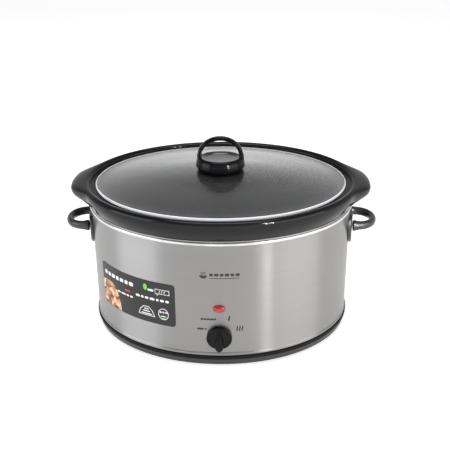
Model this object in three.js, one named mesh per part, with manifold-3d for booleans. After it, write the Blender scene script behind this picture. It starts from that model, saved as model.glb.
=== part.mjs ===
// Oval slow cooker: a steel shell over a black tray, a heated well, a lift-out stoneware crock,
// a domed glass lid with an arched knob, and one rotary control on the front.
// Millimetres, +Z up, front towards -Y. The origin lies on the table, under the middle of the
// bounding box. Every oval is named by its half-width along X; its half-depth follows from it.
import * as THREE from "three";
import { mergeVertices } from "three/addons/utils/BufferGeometryUtils.js";
import Module from "manifold-3d";

const wasm = await Module();
wasm.setup();

// ---------------------------------------------------------------- driving sizes, mm

const GAP = 0.3; // between two pieces that touch on the real object
const OVAL_SEGMENTS = 48; // facets round a plain oval
const DOME_STEPS = 5; // facets from the middle of the lid's dome to its edge
const CROCK_SEGMENTS = 72; // facets round the crock, whose ears need more
const OVAL_CORE = 100; // half-width under which an oval shrinks to a point in proportion

// Steel shell
const SHELL_HALF_WIDTH = 180; // at its top edge
const SHELL_HALF_DEPTH = 138.5; // at its top edge
const SHELL_SPREAD = 2.6; // extra half-width at its bottom edge
const SHELL_HEIGHT = 167.5;
const SHELL_WALL = 1.2;
const TOP_BEAD_RADIUS = 2.6;
const BOTTOM_BEAD = 1.0; // how far the bottom bead stands out
const BOTTOM_BEAD_HEIGHT = 4.2;

// Tray and feet
const FOOT_CLEARANCE = 3; // table to the skirt's lower edge
const TRAY_HEIGHT = 15.5;
const TRAY_PROUD = 2.3; // the skirt's top beyond the shell
const TRAY_STEP = 1.2;
const TRAY_WALL = 2.6;
const TRAY_LIP_HEIGHT = 5.5; // stands inside the shell
const TRAY_FLOOR = 2; // floor's underside above the skirt's lower edge
const TRAY_COVE = 3; // slope where the floor meets the wall
const TRAY_DRAFT = 1.2; // the skirt's foot is this much narrower than the shell
const TRAY_STEP_SHARE = 0.6; // height of the skirt's step, as a share of the skirt
const FOOT_RADIUS = 11;
const FOOT_INSET_X = 62; // foot centre from the shell's end
const FOOT_INSET_Y = 64.5; // foot centre from the shell's front or back
const FOOT_EDGE = 1.2; // chamfer round the foot's sole
const FOOT_BARB = 1.4; // how far the barb stands out of the stem
const FOOT_STEM_RADIUS = 3.7;
const VENT_LENGTH = 26;
const VENT_WIDTH = 4;
const VENT_PITCH = 22;
const VENT_COLUMNS = 4;
const VENT_Y = 46;

// Heated well inside the shell
const WELL_AIR = 11.5; // between the shell's top edge and the well
const WELL_DRAFT = 5.5; // narrower at the floor
const WELL_WALL = 1.0;
const WELL_FLOOR_RISE = 21.5; // well floor above the shell's lower edge
const WELL_CORNER = 22;
const HEATER_RISE = 32; // band above the well's floor
const HEATER_HEIGHT = 46;
const HEATER_THICKNESS = 2.6;
const HEATER_SPLIT = 16; // opening between the band's two ends
const BLANKET_RISE = 26; // above the well's floor
const BLANKET_BELOW_FLANGE = 37.3; // blanket's top below the well's flange
const BLANKET_THICKNESS = 3.6;

// Tie through the middle
const STUD_RADIUS = 3;
const STUD_FLANGE_RADIUS = 12;
const STUD_FLANGE = 1.5;
const NUT_FLATS = 10;
const NUT_HEIGHT = 4.6;
const WASHER_RADIUS = 8.5;
const WASHER_THICKNESS = 1.0;
const CUP_RADIUS = 11; // recess under the tray that hides the nut
const CUP_DEPTH = 6.6;
const SHIELD_INSET = 32; // from the shell's top half-width
const SHIELD_DROP = 10; // below the well's floor
const SHIELD_THICKNESS = 1.0;
const SHIELD_RIM = 4;
const SLEEVE_RADIUS = 6;

// Crock
const CROCK_CLEARANCE = 2; // round the bowl, inside the well
const CROCK_FLOOR_CLEARANCE = 2.7;
const CROCK_WALL = 7;
const CROCK_CORNER = 26; // outside radius where wall meets floor
const COLLAR_FOOT = 1.5; // the collar's lower edge beyond the shell's top
const COLLAR_HEIGHT = 28.6;
const COLLAR_LEAN = 8.8; // the collar's widest place beyond its lower edge
const COLLAR_CREST_WIDTH = 5.2; // half the width of the rounded crest
const COLLAR_CREST_HEIGHT = 4.6;
const LEDGE_DEPTH = 7.2; // lid ledge below the crest
const LEDGE_SHOULDER = 12; // height over which the ledge runs down into the bowl
const LEDGE_SUPPORT = 6.7; // how much of the lid's margin lies on the ledge
const EAR_REACH = 15.2; // beyond the plain collar
const EAR_DROP = 2.5;
const EAR_FULL = 24; // half-length of the ear at full reach
const EAR_END = 60; // half-length where it has blended away

// Lid
const LID_MOAT = 8.2; // between the lid's edge and the inside of the crest
const LID_GLASS = 4.4;
const LID_FLANGE = 7.5; // flat margin before the dome
const LID_RISE = 14.6;
const LID_HOLE_RADIUS = 3.4;

// Lid knob
const KNOB_HALF_WIDTH = 33.5;
const KNOB_HALF_DEPTH = 27;
const KNOB_BASE_HEIGHT = 15.8;
const KNOB_RIM = 2; // width of the base's flat rim
const KNOB_DISH = 2.4;
const KNOB_SHOULDER = 6; // how far the base draws in from its widest place to its rim
const KNOB_FOOT = 2; // how far the base draws in at its foot
const KNOB_UNDERCUT = 1; // the gasket's recess in the base
const ARCH_ROOT = 3; // how far the arch's feet sink into the dish
const ARCH_INSET = 1.8; // the arch's outside from the base's
const ARCH_RISE = 29.2; // apex above the base's rim, outside
const ARCH_THICKNESS = 6;
const ARCH_DEPTH = 9.4;
const ARCH_SQUARENESS = 2.05; // exponent of the arch's superellipse
const GASKET_RADIUS = 9;
const GASKET_THICKNESS = 1.2;
const KNOB_SCREW_RADIUS = 2.5;
const KNOB_SCREW_HEAD = 5.5;
const KNOB_SCREW_GRIP = 9; // thread inside the knob

// Side handles
const HANDLE_DROP = 33; // bar's middle below the shell's top
const HANDLE_REACH = 39; // beyond the shell's half-width at its top
const HANDLE_HALF_LENGTH = 29.5; // outside, along Y
const HANDLE_BAR_HEIGHT = 12;
const HANDLE_BAR_WIDTH = 9.5;
const PLATE_THICKNESS = 4.2;
const PLATE_HALF_WIDTH = 34;
const PLATE_ABOVE = 14.5; // above the bar's middle
const PLATE_BELOW = 34.5; // down to the plate's tip
const PLATE_TIP = 2; // half-width of the flat at the tip
const PLATE_SHOULDER = 12; // corner of the plate's top
const PLATE_TUCK = 22; // below the bar, where the sides start to draw in
const SCREW_RADIUS = 1.8;
const SCREW_HEAD_RADIUS = 3.6;
const SCREW_HEAD = 2.2;
const SCREW_GRIP = 2.8; // thread inside the plate
const SCREW_ABOVE = 8.5;
const SCREW_BELOW = 24;

// Rotary control
const DIAL_RISE = 29.5; // centre above the shell's lower edge
const DIAL_RADIUS = 16.7;
const DIAL_CLEARANCE = 1.0; // to the shell
const DIAL_DISC = 4.4;
const DIAL_DISC_EDGE = 1.0; // chamfer of the disc's front edge
const GRIP_HEIGHT = 9.6; // above the disc at its blunt end
const GRIP_TIP_HEIGHT = 1.6;
const GRIP_BLUNT_RADIUS = 5.9;
const GRIP_BLUNT_BELOW = 8.2;
const GRIP_TIP_ABOVE = 15;
const GRIP_TIP_RADIUS = 1.4;
const SHAFT_RADIUS = 3;
const SHAFT_OUT = 9; // beyond the shell
const BUSH_RADIUS = 5;
const BUSH_OUT = 2.9;
const BUSH_NUT_RADIUS = 7.6;
const BUSH_NUT = 2;
const NUT_CLEARANCE = 1.2; // round the nut, in the dial's recess
const SWITCH_WIDTH = 30;
const SWITCH_HEIGHT = 26;
const SWITCH_DEPTH = 13;
const SWITCH_BEHIND = 1.6; // from the shell's inside
const SWITCH_BACK = 3; // left behind the shaft's bore

// Indicator lamp
const LAMP_RISE = 42.8; // centre above the dial's
const LENS_HALF_WIDTH = 8.25;
const LENS_HALF_HEIGHT = 5.25;
const LENS_BULGE = 3.1;
const LENS_RIM = 0.8; // thickness of the flat rim
const LENS_WALL = 0.16; // the barrel's wall, as a share of the lens's half-width
const CLIP_THICKNESS = 1.4;
const LENS_BARREL = 0.64; // the barrel's width as a share of the lens's
const LENS_BARREL_LENGTH = 7;
const NEON_RADIUS = 2.2;
const NEON_LENGTH = 9;
const LAMP_WINDOW = 4; // cut in the blanket beyond the lens all round

// Rear inlet, fuse, terminals, label
const GLAND_RISE = 14.5; // centre above the shell's lower edge
const GLAND_BORE = 3.6;
const GLAND_NECK = 5.9;
const GLAND_FLANGE = 9;
const GLAND_COLLAR = 3.4; // thickness of the collar inside the shell
const GLAND_STEP = 1.4; // the flange's edge, and how much wider it is than the collar
const FUSE_RADIUS = 2.2;
const FUSE_LENGTH = 24;
const FUSE_EDGE = 0.6; // chamfer of one end; the other draws in twice as much
const FUSE_RISE = 19.5; // above the well's floor
const BLOCK_SIZE = [34, 16, 12];
const BLOCK_AT = [40, 84];
const BLOCK_WELL_RADIUS = 2.2;
const BLOCK_WELL_DEPTH = 5;
const LABEL_INSET = 15; // label's left edge from the shell's left end, along X
const LABEL_LENGTH = 108.5; // along X
const LABEL_RISE = 39; // lower edge above the shell's lower edge
const LABEL_HEIGHT = 63.5;
const LABEL_THICKNESS = 0.4;
const LABEL_CORNER = 5;

// ---------------------------------------------------------------- places that follow

const shellBottom = FOOT_CLEARANCE + TRAY_HEIGHT;
const shellTop = shellBottom + SHELL_HEIGHT;
const flangeTop = shellTop + GAP + WELL_WALL;
const wellHalf = SHELL_HALF_WIDTH - WELL_AIR; // outside, at the flange
const wellFloor = shellBottom + WELL_FLOOR_RISE;
const heaterBottom = wellFloor + HEATER_RISE;
const blanketBottom = wellFloor + BLANKET_RISE;
const blanketTop = flangeTop - BLANKET_BELOW_FLANGE;
const shieldHalf = SHELL_HALF_WIDTH - SHIELD_INSET;
const shieldZ = wellFloor - SHIELD_DROP;
const collarBottom = flangeTop + GAP;
const crestZ = collarBottom + COLLAR_HEIGHT;
const ledgeZ = crestZ - LEDGE_DEPTH;
const lidSeat = ledgeZ + GAP;
const lidApex = lidSeat + LID_GLASS + LID_RISE;
const knobBottom = lidApex + GASKET_THICKNESS + 2 * GAP;
const knobRim = knobBottom + KNOB_BASE_HEIGHT - KNOB_UNDERCUT;
const trayFloor = FOOT_CLEARANCE + TRAY_FLOOR;
const collarFoot = SHELL_HALF_WIDTH + COLLAR_FOOT;
const collarWidest = collarFoot + COLLAR_LEAN;
const lidHalf = collarWidest - 2 * COLLAR_CREST_WIDTH - LID_MOAT;
const ledgeInner = lidHalf - LEDGE_SUPPORT;
const archHalf = KNOB_HALF_WIDTH - ARCH_INSET;
const handleZ = shellTop - HANDLE_DROP;
const dialZ = shellBottom + DIAL_RISE;
const lampZ = dialZ + LAMP_RISE;
const glandZ = shellBottom + GLAND_RISE;
const fuseZ = wellFloor + FUSE_RISE;
const labelFrom = LABEL_INSET - SHELL_HALF_WIDTH;
const labelTo = labelFrom + LABEL_LENGTH;
const labelBottom = shellBottom + LABEL_RISE;
const labelTop = labelBottom + LABEL_HEIGHT;

// The half-depth of the oval whose half-width is a: one wall thickness all round outside the core.
function halfDepth(a) {
  const difference = SHELL_HALF_WIDTH - SHELL_HALF_DEPTH;
  return a - difference * Math.min(1, a / OVAL_CORE);
}

function shellHalfWidth(z) {
  return SHELL_HALF_WIDTH + (SHELL_SPREAD * (shellTop - z)) / SHELL_HEIGHT;
}

function wellHalfWidth(z) {
  return wellHalf - (WELL_DRAFT * (flangeTop - z)) / (flangeTop - wellFloor);
}

function crockHalfWidth(z) {
  return wellHalfWidth(z) - WELL_WALL - CROCK_CLEARANCE;
}

// ---------------------------------------------------------------- helpers

function arc(centreA, centreZ, radiusA, radiusZ, fromDegrees, toDegrees, steps) {
  return Array.from({ length: steps + 1 }, (_, i) => {
    const t = THREE.MathUtils.degToRad(fromDegrees + ((toDegrees - fromDegrees) * i) / steps);
    return [centreA + radiusA * Math.cos(t), centreZ + radiusZ * Math.sin(t)];
  });
}

function closed(profile) {
  return [...profile, profile[0]];
}

// A profile of [radius, height] points turned about +Z.
function turned(profile, segments) {
  const points = profile.map(([r, z]) => new THREE.Vector2(r, z));
  return new THREE.LatheGeometry(points, segments).rotateX(Math.PI / 2);
}

// The same, on ovals: each radius is a half-width along X.
function ovalTurned(profile, segments = OVAL_SEGMENTS) {
  const geometry = turned(profile, segments);
  const position = geometry.getAttribute("position");
  for (let i = 0; i < position.count; i++) {
    const a = Math.hypot(position.getX(i), position.getY(i));
    if (a > 0) position.setY(i, (position.getY(i) * halfDepth(a)) / a);
  }
  return geometry;
}

function solid(geometry) {
  const bare = geometry.clone();
  bare.deleteAttribute("normal");
  bare.deleteAttribute("uv");
  const merged = mergeVertices(bare, 1e-3);
  const vertProperties = merged.getAttribute("position").array;
  const triVerts = new Uint32Array(merged.index.array);
  return new wasm.Manifold(new wasm.Mesh({ numProp: 3, vertProperties, triVerts }));
}

function geometryOf(body) {
  const mesh = body.getMesh();
  const geometry = new THREE.BufferGeometry();
  geometry.setAttribute("position", new THREE.BufferAttribute(mesh.vertProperties, 3));
  geometry.setIndex(new THREE.BufferAttribute(mesh.triVerts, 1));
  geometry.computeVertexNormals();
  return geometry;
}

function cut(geometry, ...tools) {
  return geometryOf(tools.reduce((body, tool) => body.subtract(solid(tool)), solid(geometry)));
}

function join(geometry, ...others) {
  return geometryOf(others.reduce((body, other) => body.add(solid(other)), solid(geometry)));
}

function common(geometry, other) {
  return geometryOf(solid(geometry).intersect(solid(other)));
}

// A rod between two heights on +Z.
function rod(radius, fromZ, toZ, segments = 20) {
  const bar = new THREE.CylinderGeometry(radius, radius, toZ - fromZ, segments);
  return bar.rotateX(Math.PI / 2).translate(0, 0, (fromZ + toZ) / 2);
}

// Turns a piece built along +Z so that it points out of the front, the back or one end.
function facingFront(geometry, x, z) {
  return geometry.rotateX(Math.PI / 2).translate(x, 0, z);
}

function facingBack(geometry, x, z) {
  return geometry.rotateX(-Math.PI / 2).translate(x, 0, z);
}

function facingEnd(geometry, side, z) {
  return geometry.rotateY((side * Math.PI) / 2).translate(0, 0, z);
}

const steel = { color: 0xb9b7b5, roughness: 0.34, metalness: 1 };
const zinc = { color: 0xa7a9ab, roughness: 0.5, metalness: 1 };
const glossBlack = { color: 0x111112, roughness: 0.18, metalness: 0 };
const matteBlack = { color: 0x1b1b1c, roughness: 0.55, metalness: 0 };
const stoneware = { color: 0x1a1a1c, roughness: 0.15, metalness: 0 };
const clearGlass = { color: 0xdfe6e4, roughness: 0.03, metalness: 0, transparent: true, opacity: 0.35 };
const redLens = { color: 0xd8322c, roughness: 0.2, metalness: 0 };
const rubber = { color: 0x222222, roughness: 0.8, metalness: 0 };
const ceramicFibre = { color: 0xd8d2c4, roughness: 0.95, metalness: 0 };
const nylon = { color: 0xd9d7cf, roughness: 0.6, metalness: 0 };

function piece(name, geometry, finish) {
  const mesh = new THREE.Mesh(geometry, new THREE.MeshStandardMaterial(finish));
  mesh.name = name;
  return mesh;
}

// ---------------------------------------------------------------- shell and tray

const frontWall = (z) => halfDepth(shellHalfWidth(z));
const screwHeights = [handleZ + SCREW_ABOVE, handleZ - SCREW_BELOW];

function outerShell() {
  const bottom = shellHalfWidth(shellBottom);
  const profile = closed([
    [bottom, shellBottom],
    [bottom + BOTTOM_BEAD, shellBottom + BOTTOM_BEAD],
    [bottom + BOTTOM_BEAD, shellBottom + BOTTOM_BEAD_HEIGHT - BOTTOM_BEAD],
    [shellHalfWidth(shellBottom + BOTTOM_BEAD_HEIGHT), shellBottom + BOTTOM_BEAD_HEIGHT],
    ...arc(SHELL_HALF_WIDTH, shellTop - TOP_BEAD_RADIUS, TOP_BEAD_RADIUS, TOP_BEAD_RADIUS, -90, 90, 6),
    [SHELL_HALF_WIDTH - SHELL_WALL, shellTop],
    [bottom - SHELL_WALL, shellBottom],
  ]);
  const reach = 2 * SHELL_HALF_WIDTH;
  const holes = [
    facingFront(rod(BUSH_RADIUS + GAP, 0, reach), 0, dialZ),
    facingFront(lensBarrel(GAP, 0, reach), 0, lampZ),
    facingBack(rod(GLAND_NECK + GAP, 0, reach), 0, glandZ),
  ];
  for (const side of [-1, 1]) {
    for (const z of screwHeights) {
      holes.push(facingEnd(rod(SCREW_RADIUS + GAP, 0, reach, 12), side, z));
    }
  }
  return piece("outer_shell", cut(ovalTurned(profile), ...holes), steel);
}

function baseTray() {
  const foot = shellHalfWidth(shellBottom) - TRAY_DRAFT;
  const top = shellHalfWidth(shellBottom) + TRAY_PROUD;
  const lip = shellHalfWidth(shellBottom) - SHELL_WALL - 2 * GAP;
  const seat = shellBottom - GAP;
  const stepZ = FOOT_CLEARANCE + TRAY_STEP_SHARE * TRAY_HEIGHT;
  const inner = foot - 2 * TRAY_WALL;
  const profile = [
    [0, trayFloor],
    [inner - TRAY_WALL, trayFloor],
    [inner, FOOT_CLEARANCE],
    [foot, FOOT_CLEARANCE],
    [foot + TRAY_STEP, FOOT_CLEARANCE + TRAY_STEP],
    [top - TRAY_STEP, stepZ],
    [top, stepZ + TRAY_STEP / 2],
    [top, seat],
    [lip, seat],
    [lip, seat + TRAY_LIP_HEIGHT],
    [lip - TRAY_WALL, seat + TRAY_LIP_HEIGHT],
    [inner - TRAY_WALL + 1, trayFloor + TRAY_WALL + TRAY_COVE],
    [inner - TRAY_WALL - TRAY_COVE, trayFloor + TRAY_WALL],
    [0, trayFloor + TRAY_WALL],
  ];
  const cupTop = trayFloor + CUP_DEPTH;
  const cup = rod(CUP_RADIUS + TRAY_WALL, trayFloor + TRAY_WALL / 2, cupTop + TRAY_WALL, 24);
  const holes = [
    rod(CUP_RADIUS, 0, cupTop, 24),
    rod(STUD_RADIUS + GAP, 0, cupTop + 2 * TRAY_WALL, 16),
  ];
  for (const [x, y] of footPlaces()) {
    holes.push(rod(FOOT_STEM_RADIUS + GAP, 0, trayFloor + 2 * TRAY_WALL, 16).translate(x, y, 0));
  }
  for (const side of [-1, 1]) {
    for (let i = 0; i < VENT_COLUMNS; i++) {
      const slot = new THREE.BoxGeometry(VENT_WIDTH, VENT_LENGTH, 4 * TRAY_WALL);
      const x = (i - (VENT_COLUMNS - 1) / 2) * VENT_PITCH;
      holes.push(slot.translate(x, side * VENT_Y, trayFloor + TRAY_WALL / 2));
    }
  }
  return piece("base_tray", cut(join(ovalTurned(profile), cup), ...holes), matteBlack);
}

function footPlaces() {
  const x = SHELL_HALF_WIDTH - FOOT_INSET_X;
  const y = SHELL_HALF_DEPTH - FOOT_INSET_Y;
  return [
    [-x, -y],
    [x, -y],
    [-x, y],
    [x, y],
  ];
}

function feet() {
  const names = ["foot_front_left", "foot_front_right", "foot_back_left", "foot_back_right"];
  const top = trayFloor - GAP;
  const barb = trayFloor + TRAY_WALL + GAP;
  const profile = [
    [0, 0],
    [FOOT_RADIUS - FOOT_EDGE, 0],
    [FOOT_RADIUS, FOOT_EDGE],
    [FOOT_RADIUS, top],
    [FOOT_STEM_RADIUS, top],
    [FOOT_STEM_RADIUS, barb],
    [FOOT_STEM_RADIUS + FOOT_BARB, barb + GAP],
    [FOOT_STEM_RADIUS - FOOT_BARB / 2, barb + 3 * FOOT_BARB],
    [0, barb + 3 * FOOT_BARB],
  ];
  return footPlaces().map(([x, y], i) => {
    const foot = piece(names[i], turned(profile, 16), rubber);
    foot.position.set(x, y, 0);
    return foot;
  });
}

// ---------------------------------------------------------------- well, heater and tie

function heatingWell() {
  const floorOuter = wellHalfWidth(wellFloor);
  const cornerTop = wellFloor + WELL_CORNER;
  const outside = wellHalfWidth(cornerTop);
  const inner = WELL_CORNER - WELL_WALL;
  const centre = floorOuter - WELL_CORNER;
  const profile = [
    [0, wellFloor],
    ...arc(centre, cornerTop, outside - centre, WELL_CORNER, -90, 0, 5),
    [wellHalfWidth(flangeTop), flangeTop - WELL_WALL],
    [SHELL_HALF_WIDTH + TOP_BEAD_RADIUS / 2, flangeTop - WELL_WALL],
    [SHELL_HALF_WIDTH + TOP_BEAD_RADIUS / 2, flangeTop],
    [wellHalfWidth(flangeTop) - WELL_WALL, flangeTop],
    ...arc(centre, cornerTop, outside - centre - WELL_WALL, inner, 0, -90, 5),
    [0, wellFloor + WELL_WALL],
  ];
  return piece("heating_well", ovalTurned(profile), zinc);
}

// A wrap that follows the well's drafted wall between two heights.
function wrap(bottom, height, inset, thickness) {
  const low = wellHalfWidth(bottom) + inset;
  const high = wellHalfWidth(bottom + height) + inset;
  return ovalTurned(
    closed([
      [low + thickness, bottom],
      [high + thickness, bottom + height],
      [high, bottom + height],
      [low, bottom],
    ]),
  );
}

function heaterBand() {
  const back = halfDepth(wellHalf);
  const opening = new THREE.BoxGeometry(HEATER_SPLIT, back, 2 * HEATER_HEIGHT);
  opening.translate(0, back, heaterBottom + HEATER_HEIGHT / 2);
  const band = cut(wrap(heaterBottom, HEATER_HEIGHT, GAP, HEATER_THICKNESS), opening);
  return piece("heater_band", band, zinc);
}

function insulationBlanket() {
  const inset = HEATER_THICKNESS + 2 * GAP;
  const blanket = wrap(blanketBottom, blanketTop - blanketBottom, inset, BLANKET_THICKNESS);
  const width = 2 * (LENS_HALF_WIDTH + LAMP_WINDOW);
  const height = 2 * (LENS_HALF_HEIGHT + LAMP_WINDOW);
  const window = new THREE.BoxGeometry(width, SHELL_HALF_DEPTH, height);
  window.translate(0, -SHELL_HALF_DEPTH, lampZ);
  return piece("insulation_blanket", cut(blanket, window), ceramicFibre);
}

function tieHardware() {
  const flangeZ = wellFloor - GAP;
  const cupTop = trayFloor + CUP_DEPTH;
  const washerZ = cupTop - GAP - WASHER_THICKNESS;
  const nutZ = washerZ - GAP - NUT_HEIGHT;
  const sleeveFrom = cupTop + TRAY_WALL + GAP;
  const bore = STUD_RADIUS + GAP;
  const ring = (radius, from, to, segments) =>
    turned(closed([[bore, from], [radius, from], [radius, to], [bore, to]]), segments);
  const stud = turned(
    [
      [0, nutZ - GAP],
      [STUD_RADIUS, nutZ - GAP],
      [STUD_RADIUS, flangeZ - STUD_FLANGE],
      [STUD_FLANGE_RADIUS, flangeZ - STUD_FLANGE],
      [STUD_FLANGE_RADIUS, flangeZ],
      [0, flangeZ],
    ],
    20,
  );
  const hexagon = rod(NUT_FLATS / Math.sqrt(3), nutZ, nutZ + NUT_HEIGHT, 6);
  const nut = cut(hexagon, rod(bore, 0, shellBottom, 20));
  return [
    piece("tie_stud", stud, zinc),
    piece("tie_nut", nut, zinc),
    piece("tie_washer", ring(WASHER_RADIUS, washerZ, washerZ + WASHER_THICKNESS, 24), zinc),
    piece("shield_sleeve", ring(SLEEVE_RADIUS, sleeveFrom, shieldZ - GAP, 20), zinc),
  ];
}

function heatShield() {
  const top = shieldZ + SHIELD_THICKNESS;
  const profile = [
    [0, shieldZ],
    [shieldHalf, shieldZ],
    [shieldHalf + SHIELD_RIM, shieldZ + SHIELD_RIM],
    [shieldHalf + SHIELD_RIM - SHIELD_THICKNESS, top + SHIELD_RIM],
    [shieldHalf - SHIELD_THICKNESS, top],
    [0, top],
  ];
  const plate = cut(ovalTurned(profile, 48), rod(STUD_RADIUS + GAP, 0, shellTop, 20));
  return piece("heat_shield", plate, zinc);
}

// ---------------------------------------------------------------- crock

function collarProfile() {
  const crestA = collarWidest - COLLAR_CREST_WIDTH;
  const crestLow = crestZ - COLLAR_CREST_HEIGHT;
  const crest = arc(crestA, crestLow, COLLAR_CREST_WIDTH, COLLAR_CREST_HEIGHT, 0, 180, 7);
  const rise = crestLow - collarBottom;
  const face = [0, 0.25, 0.5, 0.75].map((t) => [
    collarFoot + COLLAR_LEAN * Math.sin((t * Math.PI) / 2),
    collarBottom + rise * t,
  ]);
  return [...face, ...crest];
}

function crockProfile() {
  const floor = wellFloor + WELL_WALL + CROCK_FLOOR_CLEARANCE;
  const cornerTop = floor + CROCK_CORNER;
  const centre = crockHalfWidth(floor) - CROCK_CORNER;
  const outside = crockHalfWidth(cornerTop);
  const innerTop = crockHalfWidth(collarBottom) - CROCK_WALL;
  return [
    [0, floor],
    ...arc(centre, cornerTop, outside - centre, CROCK_CORNER, -90, 0, 5),
    [crockHalfWidth(collarBottom), collarBottom],
    ...collarProfile(),
    [collarWidest - 2 * COLLAR_CREST_WIDTH - 2 * GAP, ledgeZ],
    [ledgeInner, ledgeZ],
    [innerTop + 1, ledgeZ - LEDGE_SHOULDER / 3],
    [innerTop, ledgeZ - LEDGE_SHOULDER],
    ...arc(centre, cornerTop, outside - centre - CROCK_WALL, CROCK_CORNER - CROCK_WALL, 0, -90, 5),
    [0, floor + CROCK_WALL],
  ];
}

// The two lifting ears: the collar's outer face is drawn out along X near both ends.
function drawEars(geometry) {
  const position = geometry.getAttribute("position");
  for (let i = 0; i < position.count; i++) {
    const [x, y, z] = [position.getX(i), position.getY(i), position.getZ(i)];
    if (z < collarBottom || x === 0) continue;
    const blend = THREE.MathUtils.smoothstep(Math.abs(y), EAR_FULL, EAR_END);
    const b = halfDepth(collarWidest);
    const plainX = Math.sqrt(Math.max(0, 1 - (y / b) ** 2)) * collarFoot;
    const share = THREE.MathUtils.clamp((Math.abs(x) - plainX) / COLLAR_LEAN, 0, 1);
    const pull = (1 - blend) * share * share * (3 - 2 * share);
    position.setX(i, x + Math.sign(x) * EAR_REACH * pull);
    position.setZ(i, z - EAR_DROP * pull);
  }
  return geometry;
}

function crock() {
  const body = drawEars(ovalTurned(crockProfile(), CROCK_SEGMENTS));
  return piece("crock", body, stoneware);
}

// ---------------------------------------------------------------- lid

function lidTop(a) {
  const domeEdge = lidHalf - LID_FLANGE;
  return lidApex - LID_RISE * (a / domeEdge) ** 2;
}

// How far the faceted dome has fallen, at most, where a round part of this radius ends across it.
function domeFall(radius) {
  const share = (radius * OVAL_CORE) / halfDepth(OVAL_CORE) / (lidHalf - LID_FLANGE);
  return (LID_RISE * share * Math.ceil(share * DOME_STEPS)) / DOME_STEPS;
}

function lidGlass() {
  const edge = LID_GLASS / 2;
  const domeEdge = lidHalf - LID_FLANGE;
  const shares = Array.from({ length: DOME_STEPS + 1 }, (_, i) => i / DOME_STEPS);
  const under = shares.map((s) => [s * domeEdge, lidTop(s * domeEdge) - LID_GLASS]);
  const over = shares.map((s) => [s * domeEdge, lidTop(s * domeEdge)]).reverse();
  const rim = arc(lidHalf - edge, lidSeat + edge, edge, edge, -90, 90, 5);
  const glass = ovalTurned([...under, ...rim, ...over]);
  return piece("lid_glass", cut(glass, rod(LID_HOLE_RADIUS, 0, 2 * lidApex, 16)), clearGlass);
}

function knobBase() {
  const r = KNOB_HALF_WIDTH;
  const foot = knobBottom - KNOB_UNDERCUT;
  const recess = GASKET_RADIUS + 4 * KNOB_UNDERCUT;
  const widest = foot + 3 * KNOB_FOOT;
  const profile = [
    [0, knobBottom],
    [recess, knobBottom],
    [recess + GAP, foot],
    [r - KNOB_FOOT, foot],
    [r, foot + 2 * KNOB_FOOT],
    ...arc(r - KNOB_SHOULDER, widest, KNOB_SHOULDER, knobRim - widest, 0, 90, 6),
    [r - KNOB_SHOULDER - KNOB_RIM, knobRim],
    [r - KNOB_SHOULDER - 2 * KNOB_RIM, knobRim - KNOB_DISH],
    [0, knobRim - KNOB_DISH],
  ];
  return turned(profile, 40).scale(1, KNOB_HALF_DEPTH / KNOB_HALF_WIDTH, 1);
}

function knobArch() {
  const half = archHalf - ARCH_THICKNESS / 2;
  const rise = ARCH_RISE - ARCH_THICKNESS / 2;
  const power = 2 / ARCH_SQUARENESS;
  const steps = 16;
  const path = [new THREE.Vector3(-half, 0, knobRim - KNOB_DISH - ARCH_ROOT)];
  for (let i = 0; i <= steps; i++) {
    const t = Math.PI * (1 - i / steps);
    const across = Math.sign(Math.cos(t)) * Math.abs(Math.cos(t)) ** power;
    path.push(new THREE.Vector3(half * across, 0, knobRim + rise * Math.abs(Math.sin(t)) ** power));
  }
  path.push(new THREE.Vector3(half, 0, knobRim - KNOB_DISH - ARCH_ROOT));
  const section = new THREE.Shape();
  section.absellipse(0, 0, ARCH_DEPTH / 2, ARCH_THICKNESS / 2, 0, 2 * Math.PI);
  return new THREE.ExtrudeGeometry(section, {
    steps: 26,
    curveSegments: 6,
    extrudePath: new THREE.CatmullRomCurve3(path),
  });
}

function lidKnob() {
  const bore = rod(KNOB_SCREW_RADIUS + GAP, 0, knobBottom + KNOB_SCREW_GRIP + GAP, 16);
  return piece("lid_knob", cut(join(knobBase(), knobArch()), bore), glossBlack);
}

function lidHardware() {
  const bore = KNOB_SCREW_RADIUS + GAP;
  const ring = (radius, from, to) =>
    turned(closed([[bore, from], [radius, from], [radius, to], [bore, to]]), 24);
  const under = lidApex - LID_GLASS - domeFall(WASHER_RADIUS);
  const washerTop = under - GAP;
  const washerBottom = washerTop - WASHER_THICKNESS;
  const headTop = washerBottom - GAP;
  const screw = turned(
    [
      [0, headTop - SCREW_HEAD],
      [KNOB_SCREW_HEAD - SCREW_HEAD / 2, headTop - SCREW_HEAD],
      [KNOB_SCREW_HEAD, headTop - SCREW_HEAD / 2],
      [KNOB_SCREW_HEAD, headTop],
      [KNOB_SCREW_RADIUS, headTop],
      [KNOB_SCREW_RADIUS, knobBottom + KNOB_SCREW_GRIP],
      [0, knobBottom + KNOB_SCREW_GRIP],
    ],
    20,
  );
  return [
    piece("knob_gasket", ring(GASKET_RADIUS, lidApex + GAP, lidApex + GAP + GASKET_THICKNESS), rubber),
    piece("knob_washer", ring(WASHER_RADIUS, washerBottom, washerTop), steel),
    piece("knob_screw", screw, steel),
  ];
}

// ---------------------------------------------------------------- side handles

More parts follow.
